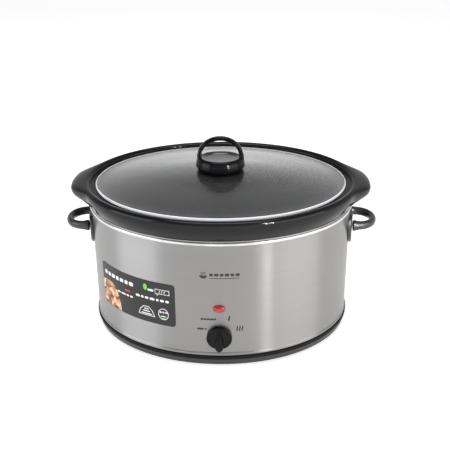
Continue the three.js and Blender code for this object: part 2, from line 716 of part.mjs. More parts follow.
function plateOutline() {
  const w = PLATE_HALF_WIDTH;
  const top = handleZ + PLATE_ABOVE;
  const tip = handleZ - PLATE_BELOW;
  const outline = new THREE.Shape();
  const side = handleZ - PLATE_TIP;
  const tuck = handleZ - PLATE_TUCK;
  const corner = PLATE_SHOULDER / 3;
  outline.moveTo(-PLATE_TIP, tip);
  outline.lineTo(PLATE_TIP, tip);
  outline.bezierCurveTo(w / 3, tip, w, tuck, w, side);
  outline.bezierCurveTo(w, top - corner, w - corner, top, w - PLATE_SHOULDER, top);
  outline.lineTo(PLATE_SHOULDER - w, top);
  outline.bezierCurveTo(corner - w, top, -w, top - corner, -w, side);
  outline.bezierCurveTo(-w, tuck, -w / 3, tip, -PLATE_TIP, tip);
  return outline;
}

function handlePlate() {
  const slab = new THREE.ExtrudeGeometry(plateOutline(), {
    depth: SHELL_HALF_WIDTH,
    bevelEnabled: false,
    curveSegments: 6,
  });
  slab.rotateX(Math.PI / 2).rotateZ(Math.PI / 2).translate(SHELL_HALF_WIDTH / 2, 0, 0);
  const low = handleZ - PLATE_BELOW - 5;
  const high = handleZ + PLATE_ABOVE + 5;
  const skin = ovalTurned(
    closed([
      [shellHalfWidth(low) + GAP + PLATE_THICKNESS, low],
      [shellHalfWidth(high) + GAP + PLATE_THICKNESS, high],
      [shellHalfWidth(high) + GAP, high],
      [shellHalfWidth(low) + GAP, low],
    ]),
  );
  return common(slab, skin);
}

function handleLoop() {
  const root = shellHalfWidth(handleZ) - 2;
  const reach = SHELL_HALF_WIDTH + HANDLE_REACH - HANDLE_BAR_WIDTH / 2 - root;
  const half = HANDLE_HALF_LENGTH - HANDLE_BAR_WIDTH / 2;
  const steps = 12;
  const path = [];
  for (let i = 0; i <= steps; i++) {
    const t = (Math.PI * i) / steps - Math.PI / 2;
    path.push(new THREE.Vector3(root + reach * Math.cos(t), half * Math.sin(t), handleZ));
  }
  const section = new THREE.Shape();
  section.absellipse(0, 0, HANDLE_BAR_HEIGHT / 2, HANDLE_BAR_WIDTH / 2, 0, 2 * Math.PI);
  const bar = new THREE.ExtrudeGeometry(section, {
    steps: 24,
    curveSegments: 6,
    extrudePath: new THREE.CatmullRomCurve3(path),
  });
  const inside = ovalTurned([
    [0, shellBottom],
    [shellHalfWidth(shellBottom) + GAP, shellBottom],
    [shellHalfWidth(shellTop) + GAP, shellTop],
    [0, shellTop],
  ]);
  return cut(bar, inside);
}

function sideHandle(name, side) {
  const bores = screwHeights.map((z) => {
    const end = shellHalfWidth(z) + GAP + SCREW_GRIP + GAP;
    return facingEnd(rod(SCREW_RADIUS + GAP, 0, end, 12), 1, z);
  });
  const handle = cut(join(handlePlate(), handleLoop()), ...bores);
  return piece(name, side > 0 ? handle : handle.rotateZ(Math.PI), glossBlack);
}

// How far the end of the shell's wall falls away at a distance from its middle, along its facet.
function wallFall(z, distance) {
  const slope = (shellHalfWidth(z) / halfDepth(shellHalfWidth(z))) * Math.tan(Math.PI / OVAL_SEGMENTS);
  return distance * slope;
}

function handleScrews(label, side) {
  return ["upper", "lower"].map((where, i) => {
    const z = screwHeights[i];
    const tip = shellHalfWidth(z) + GAP + SCREW_GRIP;
    const head = shellHalfWidth(z) - SHELL_WALL - GAP - wallFall(z, SCREW_HEAD_RADIUS);
    const profile = [
      [0, head - SCREW_HEAD],
      [SCREW_HEAD_RADIUS, head - SCREW_HEAD],
      [SCREW_HEAD_RADIUS, head],
      [SCREW_RADIUS, head],
      [SCREW_RADIUS, tip],
      [0, tip],
    ];
    return piece(`handle_screw_${label}_${where}`, facingEnd(turned(profile, 12), side, z), zinc);
  });
}

// ---------------------------------------------------------------- rotary control

const dialWall = frontWall(dialZ);

function gripOutline() {
  const outline = new THREE.Shape();
  const lean = Math.asin((GRIP_BLUNT_RADIUS - GRIP_TIP_RADIUS) / (GRIP_BLUNT_BELOW + GRIP_TIP_ABOVE));
  const tipCentre = GRIP_TIP_ABOVE - GRIP_TIP_RADIUS;
  outline.absarc(0, -GRIP_BLUNT_BELOW, GRIP_BLUNT_RADIUS, Math.PI - lean, lean, false);
  outline.absarc(0, tipCentre, GRIP_TIP_RADIUS, lean, Math.PI - lean, false);
  outline.closePath();
  return outline;
}

// Built facing +Z with the pointer's tip towards +Y, its back on z = 0.
function dialBody() {
  const disc = turned(
    [
      [0, 0],
      [DIAL_RADIUS, 0],
      [DIAL_RADIUS, DIAL_DISC - DIAL_DISC_EDGE],
      [DIAL_RADIUS - DIAL_DISC_EDGE, DIAL_DISC],
      [0, DIAL_DISC],
    ],
    48,
  );
  const grip = new THREE.ExtrudeGeometry(gripOutline(), {
    depth: DIAL_DISC + GRIP_HEIGHT - 1,
    bevelEnabled: false,
    curveSegments: 8,
  }).translate(0, 0, 1);
  const length = GRIP_TIP_ABOVE + GRIP_BLUNT_BELOW + GRIP_BLUNT_RADIUS;
  const slope = Math.atan2(GRIP_HEIGHT - GRIP_TIP_HEIGHT, length);
  const planer = new THREE.BoxGeometry(4 * length, 4 * length, 2 * length).translate(0, 0, length);
  planer.rotateX(-slope).translate(0, GRIP_TIP_ABOVE, DIAL_DISC + GRIP_TIP_HEIGHT);
  const recess = rod(BUSH_NUT_RADIUS + NUT_CLEARANCE, -1, BUSH_OUT - DIAL_CLEARANCE + GAP, 24);
  const socket = rod(SHAFT_RADIUS + GAP, -1, SHAFT_OUT - DIAL_CLEARANCE + GAP, 20);
  return cut(join(disc, cut(grip, planer)), recess, socket);
}

function rotaryControl() {
  const front = -dialWall;
  const dial = piece("control_dial", facingFront(dialBody(), 0, 0), glossBlack);
  dial.position.set(0, front - DIAL_CLEARANCE, dialZ);
  const boxFront = -(SHELL_WALL + SWITCH_BEHIND);
  const boreDepth = SWITCH_DEPTH - SWITCH_BACK;
  const box = new THREE.BoxGeometry(SWITCH_WIDTH, SWITCH_HEIGHT, SWITCH_DEPTH);
  box.translate(0, 0, boxFront - SWITCH_DEPTH / 2);
  const bush = rod(BUSH_RADIUS, boxFront - 1, BUSH_OUT, 24);
  const bore = rod(SHAFT_RADIUS + GAP, boxFront - boreDepth, BUSH_OUT + 1, 20);
  const rotary = piece("rotary_switch", facingFront(cut(join(box, bush), bore), 0, 0), nylon);
  rotary.position.set(0, front, dialZ);
  const shaft = rod(SHAFT_RADIUS, boxFront - boreDepth + GAP, SHAFT_OUT, 20);
  const spindle = piece("dial_shaft", facingFront(shaft, 0, 0), zinc);
  spindle.position.set(0, front, dialZ);
  const hexagon = rod(BUSH_NUT_RADIUS, 2 * GAP, 2 * GAP + BUSH_NUT, 6);
  const nut = cut(hexagon, rod(BUSH_RADIUS + GAP, -1, BUSH_OUT + 1, 24));
  const bushNut = piece("bush_nut", facingFront(nut, 0, 0), zinc);
  bushNut.position.set(0, front, dialZ);
  return [dial, rotary, spindle, bushNut];
}

// ---------------------------------------------------------------- indicator lamp

// The lens's oval barrel, with clearance round it, along +Z.
function lensBarrel(clearance, from, to) {
  const width = LENS_HALF_WIDTH * LENS_BARREL + clearance;
  const height = LENS_HALF_HEIGHT * LENS_BARREL + clearance;
  return rod(1, from, to, 24).scale(width, height, 1);
}

function indicatorLamp() {
  const seat = 2 * GAP;
  const front = -frontWall(lampZ);
  const share = LENS_BARREL;
  const inside = share - LENS_WALL;
  const profile = [
    [0, seat],
    [inside, seat],
    [inside, -LENS_BARREL_LENGTH],
    [share, -LENS_BARREL_LENGTH],
    [share, seat],
    ...arc(0, seat + LENS_RIM, 1, LENS_BULGE - LENS_RIM, 0, 90, 5),
  ];
  profile.splice(5, 0, [1, seat]);
  const shape = turned(profile, 28).scale(LENS_HALF_WIDTH, LENS_HALF_HEIGHT, 1);
  const lens = piece("indicator_lens", facingFront(shape, 0, 0), redLens);
  lens.position.set(0, front, lampZ);
  const neonTop = seat - GAP - 1;
  const tube = rod(NEON_RADIUS, neonTop - NEON_LENGTH, neonTop, 14);
  const bulb = piece("neon_lamp", facingFront(tube, 0, 0), nylon);
  bulb.position.set(0, front, lampZ);
  const clipTop = -(SHELL_WALL + 2 * GAP);
  const plate = rod(1, clipTop - CLIP_THICKNESS, clipTop, 24).scale(LENS_HALF_WIDTH, LENS_HALF_HEIGHT + 1, 1);
  const clip = cut(plate, lensBarrel(GAP, clipTop - 2 * CLIP_THICKNESS, clipTop + CLIP_THICKNESS));
  const lensClip = piece("lens_clip", facingFront(clip, 0, 0), zinc);
  lensClip.position.set(0, front, lampZ);
  return [lens, bulb, lensClip];
}

// ---------------------------------------------------------------- inlet, fuse, terminals, label

function cordGland() {
  const inner = -(SHELL_WALL + 2 * GAP);
  const profile = closed([
    [GLAND_BORE, inner - GLAND_COLLAR],
    [GLAND_FLANGE - GLAND_STEP, inner - GLAND_COLLAR],
    [GLAND_FLANGE - GLAND_STEP, inner],
    [GLAND_NECK, inner],
    [GLAND_NECK, 2 * GAP],
    [GLAND_FLANGE, 2 * GAP],
    [GLAND_FLANGE, 2 * GAP + GLAND_STEP],
    [GLAND_FLANGE - GLAND_STEP, 2 * GAP + 2 * GLAND_STEP],
    [GLAND_BORE, 2 * GAP + 2 * GLAND_STEP],
  ]);
  const gland = piece("cord_gland", facingBack(turned(profile, 24), 0, 0), matteBlack);
  gland.position.set(0, frontWall(glandZ), glandZ);
  return gland;
}

function thermalFuse() {
  const touch = halfDepth(wellHalfWidth(fuseZ)) + GAP + FUSE_RADIUS;
  const half = FUSE_LENGTH / 2;
  const profile = [
    [0, -half],
    [FUSE_RADIUS - FUSE_EDGE, -half],
    [FUSE_RADIUS, FUSE_EDGE - half],
    [FUSE_RADIUS, half - 2 * FUSE_EDGE],
    [FUSE_RADIUS - 2 * FUSE_EDGE, half],
    [0, half],
  ];
  const fuse = piece("thermal_fuse", turned(profile, 16).rotateY(Math.PI / 2), nylon);
  fuse.position.set(0, touch, fuseZ);
  return fuse;
}

function terminalBlock() {
  const [width, depth, height] = BLOCK_SIZE;
  const base = trayFloor + TRAY_WALL + GAP;
  const block = new THREE.BoxGeometry(width, depth, height).translate(0, 0, height / 2);
  const pitch = width / 3.2;
  const wells = [-1, 0, 1].map((i) => {
    const well = rod(BLOCK_WELL_RADIUS, height - BLOCK_WELL_DEPTH, height + 1, 12);
    return well.translate(i * pitch, 0, 0);
  });
  const terminals = piece("terminal_block", cut(block, ...wells), nylon);
  terminals.position.set(BLOCK_AT[0], BLOCK_AT[1], base);
  return terminals;
}

function infoLabel() {
  const r = LABEL_CORNER;
  const outline = new THREE.Shape();
  outline.absarc(labelFrom + r, labelBottom + r, r, Math.PI, 1.5 * Math.PI, false);
  outline.absarc(labelTo - r, labelBottom + r, r, 1.5 * Math.PI, 2 * Math.PI, false);
  outline.absarc(labelTo - r, labelTop - r, r, 0, 0.5 * Math.PI, false);
  outline.absarc(labelFrom + r, labelTop - r, r, 0.5 * Math.PI, Math.PI, false);
  const slab = new THREE.ExtrudeGeometry(outline, {
    depth: SHELL_HALF_DEPTH + 2 * SHELL_SPREAD + 5,
    bevelEnabled: false,
    curveSegments: 4,
  }).rotateX(Math.PI / 2);
  const low = labelBottom - 5;
  const high = labelTop + 5;
  const skin = ovalTurned(
    closed([
      [shellHalfWidth(low) + GAP + LABEL_THICKNESS, low],
      [shellHalfWidth(high) + GAP + LABEL_THICKNESS, high],
      [shellHalfWidth(high) + GAP, high],
      [shellHalfWidth(low) + GAP, low],
    ]),
  );
  return piece("info_label", common(slab, skin), matteBlack);
}

// ---------------------------------------------------------------- assembly

const cooker = new THREE.Group();
cooker.add(outerShell(), baseTray(), ...feet());
cooker.add(heatingWell(), heaterBand(), insulationBlanket(), heatShield(), ...tieHardware());
cooker.add(sideHandle("side_handle_right", 1), sideHandle("side_handle_left", -1));
cooker.add(...handleScrews("right", 1), ...handleScrews("left", -1));
cooker.add(...rotaryControl(), ...indicatorLamp());
cooker.add(cordGland(), thermalFuse(), terminalBlock(), infoLabel());

const crockGroup = new THREE.Group();
crockGroup.add(crock());

const lidGroup = new THREE.Group();
lidGroup.add(lidGlass(), lidKnob(), ...lidHardware());

// The dial's grip reaches further forward than the collar reaches back, so the whole is moved
// to put the middle of its bounding box over the origin.
const dialFront = dialWall + DIAL_CLEARANCE + DIAL_DISC + GRIP_HEIGHT;
const slowCooker = new THREE.Group();
slowCooker.add(cooker, crockGroup, lidGroup);
slowCooker.position.y = (dialFront - halfDepth(collarWidest)) / 2;

export default slowCooker;
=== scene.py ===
# %% [markdown]
# # An oval slow cooker
# This lesson builds the finished look of a slow cooker around its engineering parts. The parts arrive
# as plain meshes that ride on four bodies: cooker, crock, lid and dial. We keep those bodies, and make
# smooth, well finished pieces for everything that can be seen.

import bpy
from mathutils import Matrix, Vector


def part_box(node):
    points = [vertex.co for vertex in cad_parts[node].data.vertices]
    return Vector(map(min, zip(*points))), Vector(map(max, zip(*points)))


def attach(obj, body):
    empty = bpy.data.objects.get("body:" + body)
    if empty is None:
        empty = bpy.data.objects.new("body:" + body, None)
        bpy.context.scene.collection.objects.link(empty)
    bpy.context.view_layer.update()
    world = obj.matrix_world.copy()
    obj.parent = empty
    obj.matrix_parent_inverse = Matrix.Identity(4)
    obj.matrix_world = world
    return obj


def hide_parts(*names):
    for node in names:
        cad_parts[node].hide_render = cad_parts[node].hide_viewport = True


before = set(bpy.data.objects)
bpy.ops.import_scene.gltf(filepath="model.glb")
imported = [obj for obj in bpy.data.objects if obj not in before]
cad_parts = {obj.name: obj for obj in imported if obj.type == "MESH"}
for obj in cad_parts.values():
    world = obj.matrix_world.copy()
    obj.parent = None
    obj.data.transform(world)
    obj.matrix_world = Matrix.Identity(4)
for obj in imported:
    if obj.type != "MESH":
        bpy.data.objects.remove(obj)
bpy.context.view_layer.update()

# %% [markdown]
# ## Camera
# A product camera stands about a metre away and looks down at the front by 26 degrees. A plain lens with
# no shift keeps the perspective honest, so the oval rims close the way the eye expects.

# %% Camera
import math

import bmesh
import bpy
from mathutils import Matrix, Quaternion, Vector
from mathutils.geometry import interpolate_bezier

MM = 0.001
CAMERA_AT = Vector((22.69, -857.29, 566.06)) * MM
CAMERA_AIM = Vector((5.665, 3.42, 141.22)) * MM
CAMERA_LENS = 53.69  # on a sensor 36 mm wide
CAMERA_ROLL = -0.407  # degrees

camera_data = bpy.data.cameras.new("camera")
camera_data.lens = CAMERA_LENS
camera_data.sensor_width = 36
camera = bpy.data.objects.new("camera", camera_data)
camera.location = CAMERA_AT
camera_roll = Quaternion((0, 0, 1), math.radians(CAMERA_ROLL))
camera_turn = (CAMERA_AIM - CAMERA_AT).to_track_quat("-Z", "Y") @ camera_roll
camera.rotation_euler = camera_turn.to_euler()
bpy.context.scene.collection.objects.link(camera)
bpy.context.scene.camera = camera
camera_dip = math.asin((CAMERA_AT - CAMERA_AIM).normalized().z)
print("camera aims", round(math.degrees(camera_dip), 1), "degrees down")

# %% [markdown]
# ## Floor and light
# A seamless pale floor and a bright room give steel and gloss plastic something to mirror. Two tall
# panels stand to the left and right of the camera and a wide one hangs above: their reflections are the
# light bands that show the curve of the shell. A narrow strip on the right adds one bright line. A second
# such strip is linked to the crock, the knob and the side handles only, and gives them a small sharp glint.

# %% Floor
FLOOR_RADIUS = 6.0


def principled(name, color, roughness, metallic=0.0, **inputs):
    """A material with one Principled shader, whose steady values sit on its own sockets."""
    material = bpy.data.materials.new(name)
    material.use_nodes = True
    shader = material.node_tree.nodes["Principled BSDF"]
    shader.inputs["Base Color"].default_value = (*color, 1)
    shader.inputs["Roughness"].default_value = roughness
    shader.inputs["Metallic"].default_value = metallic
    for socket, value in inputs.items():
        shader.inputs[socket.replace("_", " ")].default_value = value
    return material


def object_from(bm, name, *materials):
    """Turns a bmesh into an object in the scene, smooth except at its real corners."""
    mesh = bpy.data.meshes.new(name)
    bm.to_mesh(mesh)
    bm.free()
    mesh.shade_smooth()
    mesh.set_sharp_from_angle(angle=math.radians(38))
    obj = bpy.data.objects.new(name, mesh)
    bpy.context.scene.collection.objects.link(obj)
    for material in materials:
        mesh.materials.append(material)
    return obj


floor_mesh = bmesh.new()
bmesh.ops.create_circle(floor_mesh, cap_ends=True, segments=96, radius=FLOOR_RADIUS)
floor_finish = principled("studio_floor", (0.8, 0.8, 0.8), 0.9, 0.0, Emission_Strength=0.64)
floor_finish.node_tree.nodes["Principled BSDF"].inputs["Emission Color"].default_value = (1, 1, 1, 1)
floor = object_from(floor_mesh, "studio_floor", floor_finish)
print("floor radius", FLOOR_RADIUS, "m")

# %% Lights
def panel(name, azimuth, distance, height, size, radiance, color=(1, 1, 1)):
    """A soft panel that faces the cooker. Azimuth 0 is in front, 90 is to the right."""
    data = bpy.data.lights.new(name, "AREA")
    data.shape = "RECTANGLE"
    data.size, data.size_y = size
    data.energy = radiance * math.pi * size[0] * size[1]
    data.color = color
    light = bpy.data.objects.new(name, data)
    turn = math.radians(azimuth)
    light.location = (distance * math.sin(turn), -distance * math.cos(turn), height)
    aim = Vector((0, 0, 0.12)) - light.location
    light.rotation_euler = aim.to_track_quat("-Z", "Y").to_euler()
    bpy.context.scene.collection.objects.link(light)
    return light


def room_light(stops_behind, stops_front):
    """A room whose brightness changes with height: one list of (height, brightness) behind, one in front."""
    world = bpy.data.worlds.new("room")
    world.use_nodes = True
    nodes, links = world.node_tree.nodes, world.node_tree.links
    direction = nodes.new("ShaderNodeTexCoord")
    parts = nodes.new("ShaderNodeSeparateXYZ")
    links.new(direction.outputs["Generated"], parts.inputs["Vector"])
    shades = []
    for stops in (stops_front, stops_behind):
        shade = nodes.new("ShaderNodeValToRGB")
        while len(shade.color_ramp.elements) < len(stops):
            shade.color_ramp.elements.new(0.5)
        for element, (height, brightness) in zip(shade.color_ramp.elements, stops):
            element.position = height
            element.color = (brightness / 2, brightness / 2, brightness / 2, 1)
        links.new(parts.outputs["Z"], shade.inputs["Fac"])
        shades.append(shade)
    behind = nodes.new("ShaderNodeMapRange")
    behind.interpolation_type = "SMOOTHSTEP"
    behind.inputs["From Min"].default_value = -0.5
    behind.inputs["From Max"].default_value = 0.35
    links.new(parts.outputs["Y"], behind.inputs["Value"])
    mix = nodes.new("ShaderNodeMix")
    mix.data_type = "RGBA"
    links.new(behind.outputs["Result"], mix.inputs["Factor"])
    links.new(shades[0].outputs["Color"], mix.inputs["A"])
    links.new(shades[1].outputs["Color"], mix.inputs["B"])
    links.new(mix.outputs["Result"], nodes["Background"].inputs["Color"])
    nodes["Background"].inputs["Strength"].default_value = 2.0
    return world


BEHIND = [(0.0, 1.15), (0.12, 0.95), (0.26, 0.74), (0.45, 0.56), (0.72, 0.25), (0.85, 0.14)]
FRONT = [(0.0, 0.75), (0.1, 0.45), (0.4, 0.3), (0.9, 0.3)]
bpy.context.scene.world = room_light(BEHIND, FRONT)
bpy.context.scene.view_settings.view_transform = "Standard"

strip = panel("strip_right", 31.0, 1.5, 0.5, (0.1, 1.0), 11.0, (1.0, 0.99, 0.97))
panel("panel_right", 57, 1.5, 0.5, (1.0, 1.0), 2.4, (1.0, 0.98, 0.95))
panel("panel_left", -62, 1.5, 0.5, (1.0, 1.0), 2.9, (0.93, 0.95, 1.0))
panel("panel_top", 0, 0.02, 2.6, (1.6, 1.6), 3.2)
glint = panel("glint_strip", 31.0, 1.5, 0.5, (0.14, 1.0), 110.0)
glazed_pieces = bpy.data.collections.new("glazed_pieces")
glint.light_linking.receiver_collection = glazed_pieces
for lamp in (strip, glint):
    lamp.visible_transmission = False

# %% [markdown]
# ## The oval
# Pot, shell, well and lid all share one family of ovals. Each is named by its half-width; the half-depth
# is a fixed amount less, so that a wall keeps one thickness all the way round.

# %% Oval rule
OVAL_LOSS = 41.5
OVAL_CORE = 100.0
CENTRE_Y = (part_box("outer_shell")[0].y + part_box("outer_shell")[1].y) / 2


def oval_depth(a):
    return a - OVAL_LOSS * min(1.0, a / OVAL_CORE)


print("centre of the ovals at y =", round(CENTRE_Y * 1000, 2), "mm")

# %% [markdown]
# ## Spinning a profile
# Most of the cooker could be turned on a lathe and then pressed into an oval. So each piece starts as a
# few points of its section. A vertex bevel rounds the corners that need it, Spin carries the section
# round, and every point is then moved from its circle onto its oval.

# %% Lathe helper
def section(points, closed):
    """A wire section in the XZ plane from (half-width, height, corner) in millimetres."""
    bm = bmesh.new()
    verts = [bm.verts.new((a * MM, 0, z * MM)) for a, z, _ in points]
    for first, second in zip(verts, verts[1:]):
        bm.edges.new((first, second))
    if closed:
        bm.edges.new((verts[-1], verts[0]))
    for vert, (_, _, corner) in zip(verts, points):
        if corner:
            bmesh.ops.bevel(bm, geom=[vert], offset=corner * MM, offset_type="OFFSET", segments=5,
                            profile=0.5, affect="VERTICES", material=-1)
    return bm


def lathe(points, steps=192, closed=True):
    bm = section(points, closed)
    bmesh.ops.spin(bm, geom=bm.verts[:] + bm.edges[:], cent=(0, 0, 0), axis=(0, 0, 1),
                   angle=2 * math.pi, steps=steps, use_merge=True)
    bmesh.ops.remove_doubles(bm, verts=bm.verts[:], dist=1e-6)
    bmesh.ops.recalc_face_normals(bm, faces=bm.faces[:])
    return bm


def pressed_oval(bm):
    """Moves every point from its circle to its oval, and the whole to the ovals' centre."""
    for vert in bm.verts:
        a = math.hypot(vert.co.x, vert.co.y) / MM
        if a > 1e-6:
            vert.co.y *= oval_depth(a) / a
        vert.co.y += CENTRE_Y
    return bm


def oval_lathe(points, steps=192, closed=True):
    return pressed_oval(lathe(points, steps, closed))


def fit(obj, body, slot, *nodes):
    """The piece rides on its body and stands for its engineering nodes; the slot is not used."""
    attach(obj, body)
    if nodes:
        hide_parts(*nodes)
    print(obj.name, "has", len(obj.data.polygons), "faces")
    return obj

# %% [markdown]
# ## Brushed steel
# The shell is rolled from brushed sheet. Brushing leaves thousands of fine scratches that run round the
# body, and each scratch spreads light across itself, so lights smear upwards into tall bands. An
# anisotropic shader does that without modelling scratches. Fine noise stretched along the brushing adds
# the grain, in the roughness and in a very small bump.

# %% Brushed steel
def nodes_of(material):
    return material.node_tree.nodes, material.node_tree.links


def noise(material, scale, detail, stretch=(1, 1, 1), roughness=0.5):
    """Noise on Object coordinates, stretched by a Mapping node. Returns the noise node."""
    nodes, links = nodes_of(material)
    coordinates = nodes.new("ShaderNodeTexCoord")
    mapping = nodes.new("ShaderNodeMapping")
    mapping.inputs["Scale"].default_value = stretch
    texture = nodes.new("ShaderNodeTexNoise")
    texture.inputs["Scale"].default_value = scale
    texture.inputs["Detail"].default_value = detail
    texture.inputs["Roughness"].default_value = roughness
    links.new(coordinates.outputs["Object"], mapping.inputs["Vector"])
    links.new(mapping.outputs["Vector"], texture.inputs["Vector"])
    return texture


def ramp(material, source, low, high, low_at=0.35, high_at=0.65):
    """A colour ramp on a factor, between two colours."""
    nodes, links = nodes_of(material)
    node = nodes.new("ShaderNodeValToRGB")
    node.color_ramp.elements[0].color = (*low, 1)
    node.color_ramp.elements[1].color = (*high, 1)
    node.color_ramp.elements[0].position = low_at
    node.color_ramp.elements[1].position = high_at
    links.new(source, node.inputs["Fac"])
    return node.outputs["Color"]


def span(material, source, low, high):
    """Carries a factor from 0..1 to low..high."""
    nodes, links = nodes_of(material)
    node = nodes.new("ShaderNodeMapRange")
    node.inputs["To Min"].default_value = low
    node.inputs["To Max"].default_value = high
    links.new(source, node.inputs["Value"])
    return node.outputs["Result"]


def bump(material, source, depth_mm, strength=1.0):
    nodes, links = nodes_of(material)
    node = nodes.new("ShaderNodeBump")
    node.inputs["Strength"].default_value = strength
    node.inputs["Distance"].default_value = depth_mm * MM
    links.new(source, node.inputs["Height"])
    links.new(node.outputs["Normal"], nodes["Principled BSDF"].inputs["Normal"])


def brushed_steel(name, color, roughness, anisotropy):
    material = principled(name, color, roughness, 1.0, Anisotropic=anisotropy)
    nodes, links = nodes_of(material)
    shader = nodes["Principled BSDF"]
    tangent = nodes.new("ShaderNodeTangent")
    tangent.direction_type = "UV_MAP"
    tangent.uv_map = "up_and_round"
    links.new(tangent.outputs["Tangent"], shader.inputs["Tangent"])
    grain = noise(material, 60, 4, (0.12, 0.12, 60), 0.65)
    dark = tuple(c * 0.94 for c in color)
    light = tuple(min(1, c * 1.06) for c in color)
    links.new(ramp(material, grain.outputs["Fac"], dark, light), shader.inputs["Base Color"])
    links.new(span(material, grain.outputs["Fac"], roughness - 0.05, roughness + 0.05),
              shader.inputs["Roughness"])
    bump(material, grain.outputs["Fac"], 0.006)
    return material


def sheet_metal(name, color, roughness, cloud_scale=24, coarse=(1, 1, 1)):
    material = principled(name, color, roughness, 1.0)
    nodes, links = nodes_of(material)
    cloud = noise(material, cloud_scale, 5, coarse, 0.6)
    dark = tuple(c * 0.86 for c in color)
    light = tuple(min(1, c * 1.1) for c in color)
    clouded = ramp(material, cloud.outputs["Fac"], dark, light)
    links.new(clouded, nodes["Principled BSDF"].inputs["Base Color"])
    links.new(span(material, cloud.outputs["Fac"], roughness - 0.1, roughness + 0.14),
              nodes["Principled BSDF"].inputs["Roughness"])
    fine = noise(material, 700, 3, coarse)
    bump(material, fine.outputs["Fac"], 0.008)
    return material


def up_and_round(obj):
    """A UV map whose first direction climbs the wall and whose second goes round it."""
    layer = obj.data.uv_layers.new(name="up_and_round")
    for polygon in obj.data.polygons:
        middle = math.atan2(polygon.center.x, -(polygon.center.y - CENTRE_Y))
        for loop in polygon.loop_indices:
            point = obj.data.vertices[obj.data.loops[loop].vertex_index].co
            turn = math.atan2(point.x, -(point.y - CENTRE_Y))
            turn += round((middle - turn) / (2 * math.pi)) * 2 * math.pi
            layer.data[loop].uv = (point.z, turn * 0.16)


shell_steel = brushed_steel("shell_steel", (0.345, 0.34, 0.336), 0.35, 0.97)
print("made", shell_steel.name)

# %% [markdown]
# ## Outer shell
# A thin steel wall, a little wider at the foot, with a rolled bead at the top and a small one below. The
# section runs up the outside, over the bead and down the inside.

# %% Shell
SHELL_BOTTOM = 18.5
SHELL_TOP = 186.0
SHELL_HALF = 180.0
SHELL_SPREAD = 2.6
SHELL_WALL = 1.2
TOP_BEAD = 2.6


def shell_half(z):
    return SHELL_HALF + SHELL_SPREAD * (SHELL_TOP - z) / (SHELL_TOP - SHELL_BOTTOM)


foot = shell_half(SHELL_BOTTOM)
shell_points = [
    (foot, SHELL_BOTTOM, 0),
    (foot + 1.0, SHELL_BOTTOM + 0.2, 0.5),
    (foot + 1.0, SHELL_BOTTOM + 3.6, 0.9),
    (shell_half(SHELL_BOTTOM + 4.6), SHELL_BOTTOM + 4.6, 0.4),
    *[(shell_half(z), z, 0) for z in (40, 60, 80, 100, 120, 140, 160)],
    (SHELL_HALF, SHELL_TOP - 2 * TOP_BEAD, 0.3),
    (SHELL_HALF + TOP_BEAD, SHELL_TOP - 2 * TOP_BEAD, 1.9),
    (SHELL_HALF + TOP_BEAD, SHELL_TOP, 1.9),
    (SHELL_HALF - SHELL_WALL, SHELL_TOP, 0),
    (foot - SHELL_WALL, SHELL_BOTTOM, 0),
]
polished_bead = sheet_metal("polished_bead", (0.66, 0.66, 0.65), 0.22, 40)
shell = object_from(oval_lathe(shell_points, 240), "steel_shell", shell_steel, polished_bead)
for polygon in shell.data.polygons:
    height = polygon.center.z / MM
    polygon.material_index = 1 if height > SHELL_TOP - 2 * TOP_BEAD + 0.2 else 0
up_and_round(shell)
fit(shell, "cooker", "shell_steel", "outer_shell")

# %% [markdown]
# ## Base tray
# The shell stands in a black moulded tray. Its skirt has a step part of the way up and draws in towards
# the table. Moulded plastic is matte with a faint pebble grain, so the bump is fine and shallow. A Boolean
# joins the cup that hides the fixing nut on to the tray's floor and then cuts the holes and vents out of it.

# %% Black plastics
def moulded(name, color, roughness, grain_scale, grain_mm, specular=0.14, coat=0.0):
    """Moulded plastic: a faint cloud in the colour, a fine grain in the surface, and any polish it has."""
    material = principled(name, color, roughness, 0.0, Specular_IOR_Level=specular, Coat_Weight=coat,
                          Coat_Roughness=0.05)
    nodes, links = nodes_of(material)
    cloud = noise(material, 18, 3)
    dark = tuple(c * 0.85 for c in color)
    light = tuple(min(1, c * 1.2) for c in color)
    clouded = ramp(material, cloud.outputs["Fac"], dark, light)
    links.new(clouded, nodes["Principled BSDF"].inputs["Base Color"])
    fine = noise(material, grain_scale, 2)
    links.new(span(material, fine.outputs["Fac"], roughness * 0.85, roughness * 1.15),
              nodes["Principled BSDF"].inputs["Roughness"])
    bump(material, fine.outputs["Fac"], grain_mm)
    return material


tray_plastic = moulded("tray_plastic", (0.018, 0.018, 0.019), 0.38, 900, 0.02, 0.5)
# A darker, duller copy of the tray plastic: painted shade for the band above the step.
tray_painted_shade = moulded("tray_painted_shade", (0.008, 0.008, 0.0085), 0.55, 900, 0.02, 0.12)
handle_plastic = moulded("handle_plastic", (0.003, 0.003, 0.0035), 0.14, 60, 0.01, 0.05, 0.22)
loop_plastic = moulded("loop_plastic", (0.014, 0.014, 0.0145), 0.33, 60, 0.01, 0.4, 0.15)

# %% Tray
def carved(bm, tool_bm, operation="DIFFERENCE"):
    """Cuts a closed shape out of another, or joins it on, with an exact Boolean."""
    body = object_from(bm, "carved_body")
    tool = object_from(tool_bm, "carving_tool")
    modifier = body.modifiers.new("carve", "BOOLEAN")
    modifier.operation = operation
    modifier.solver = "EXACT"
    modifier.object = tool
    done = bmesh.new()
    done.from_object(body, bpy.context.evaluated_depsgraph_get())
    for obj in (body, tool):
        bpy.data.objects.remove(obj)
    return done


def rod(bm, radius, low, high, x=0.0, y=0.0):
    """A round rod between two heights, in millimetres, added to a bmesh."""
    place = Matrix.Translation(Vector((x, y, (low + high) / 2)) * MM + Vector((0, CENTRE_Y, 0)))
    bmesh.ops.create_cone(bm, cap_ends=True, segments=48, radius1=radius * MM, radius2=radius * MM,
                          depth=(high - low) * MM, matrix=place)


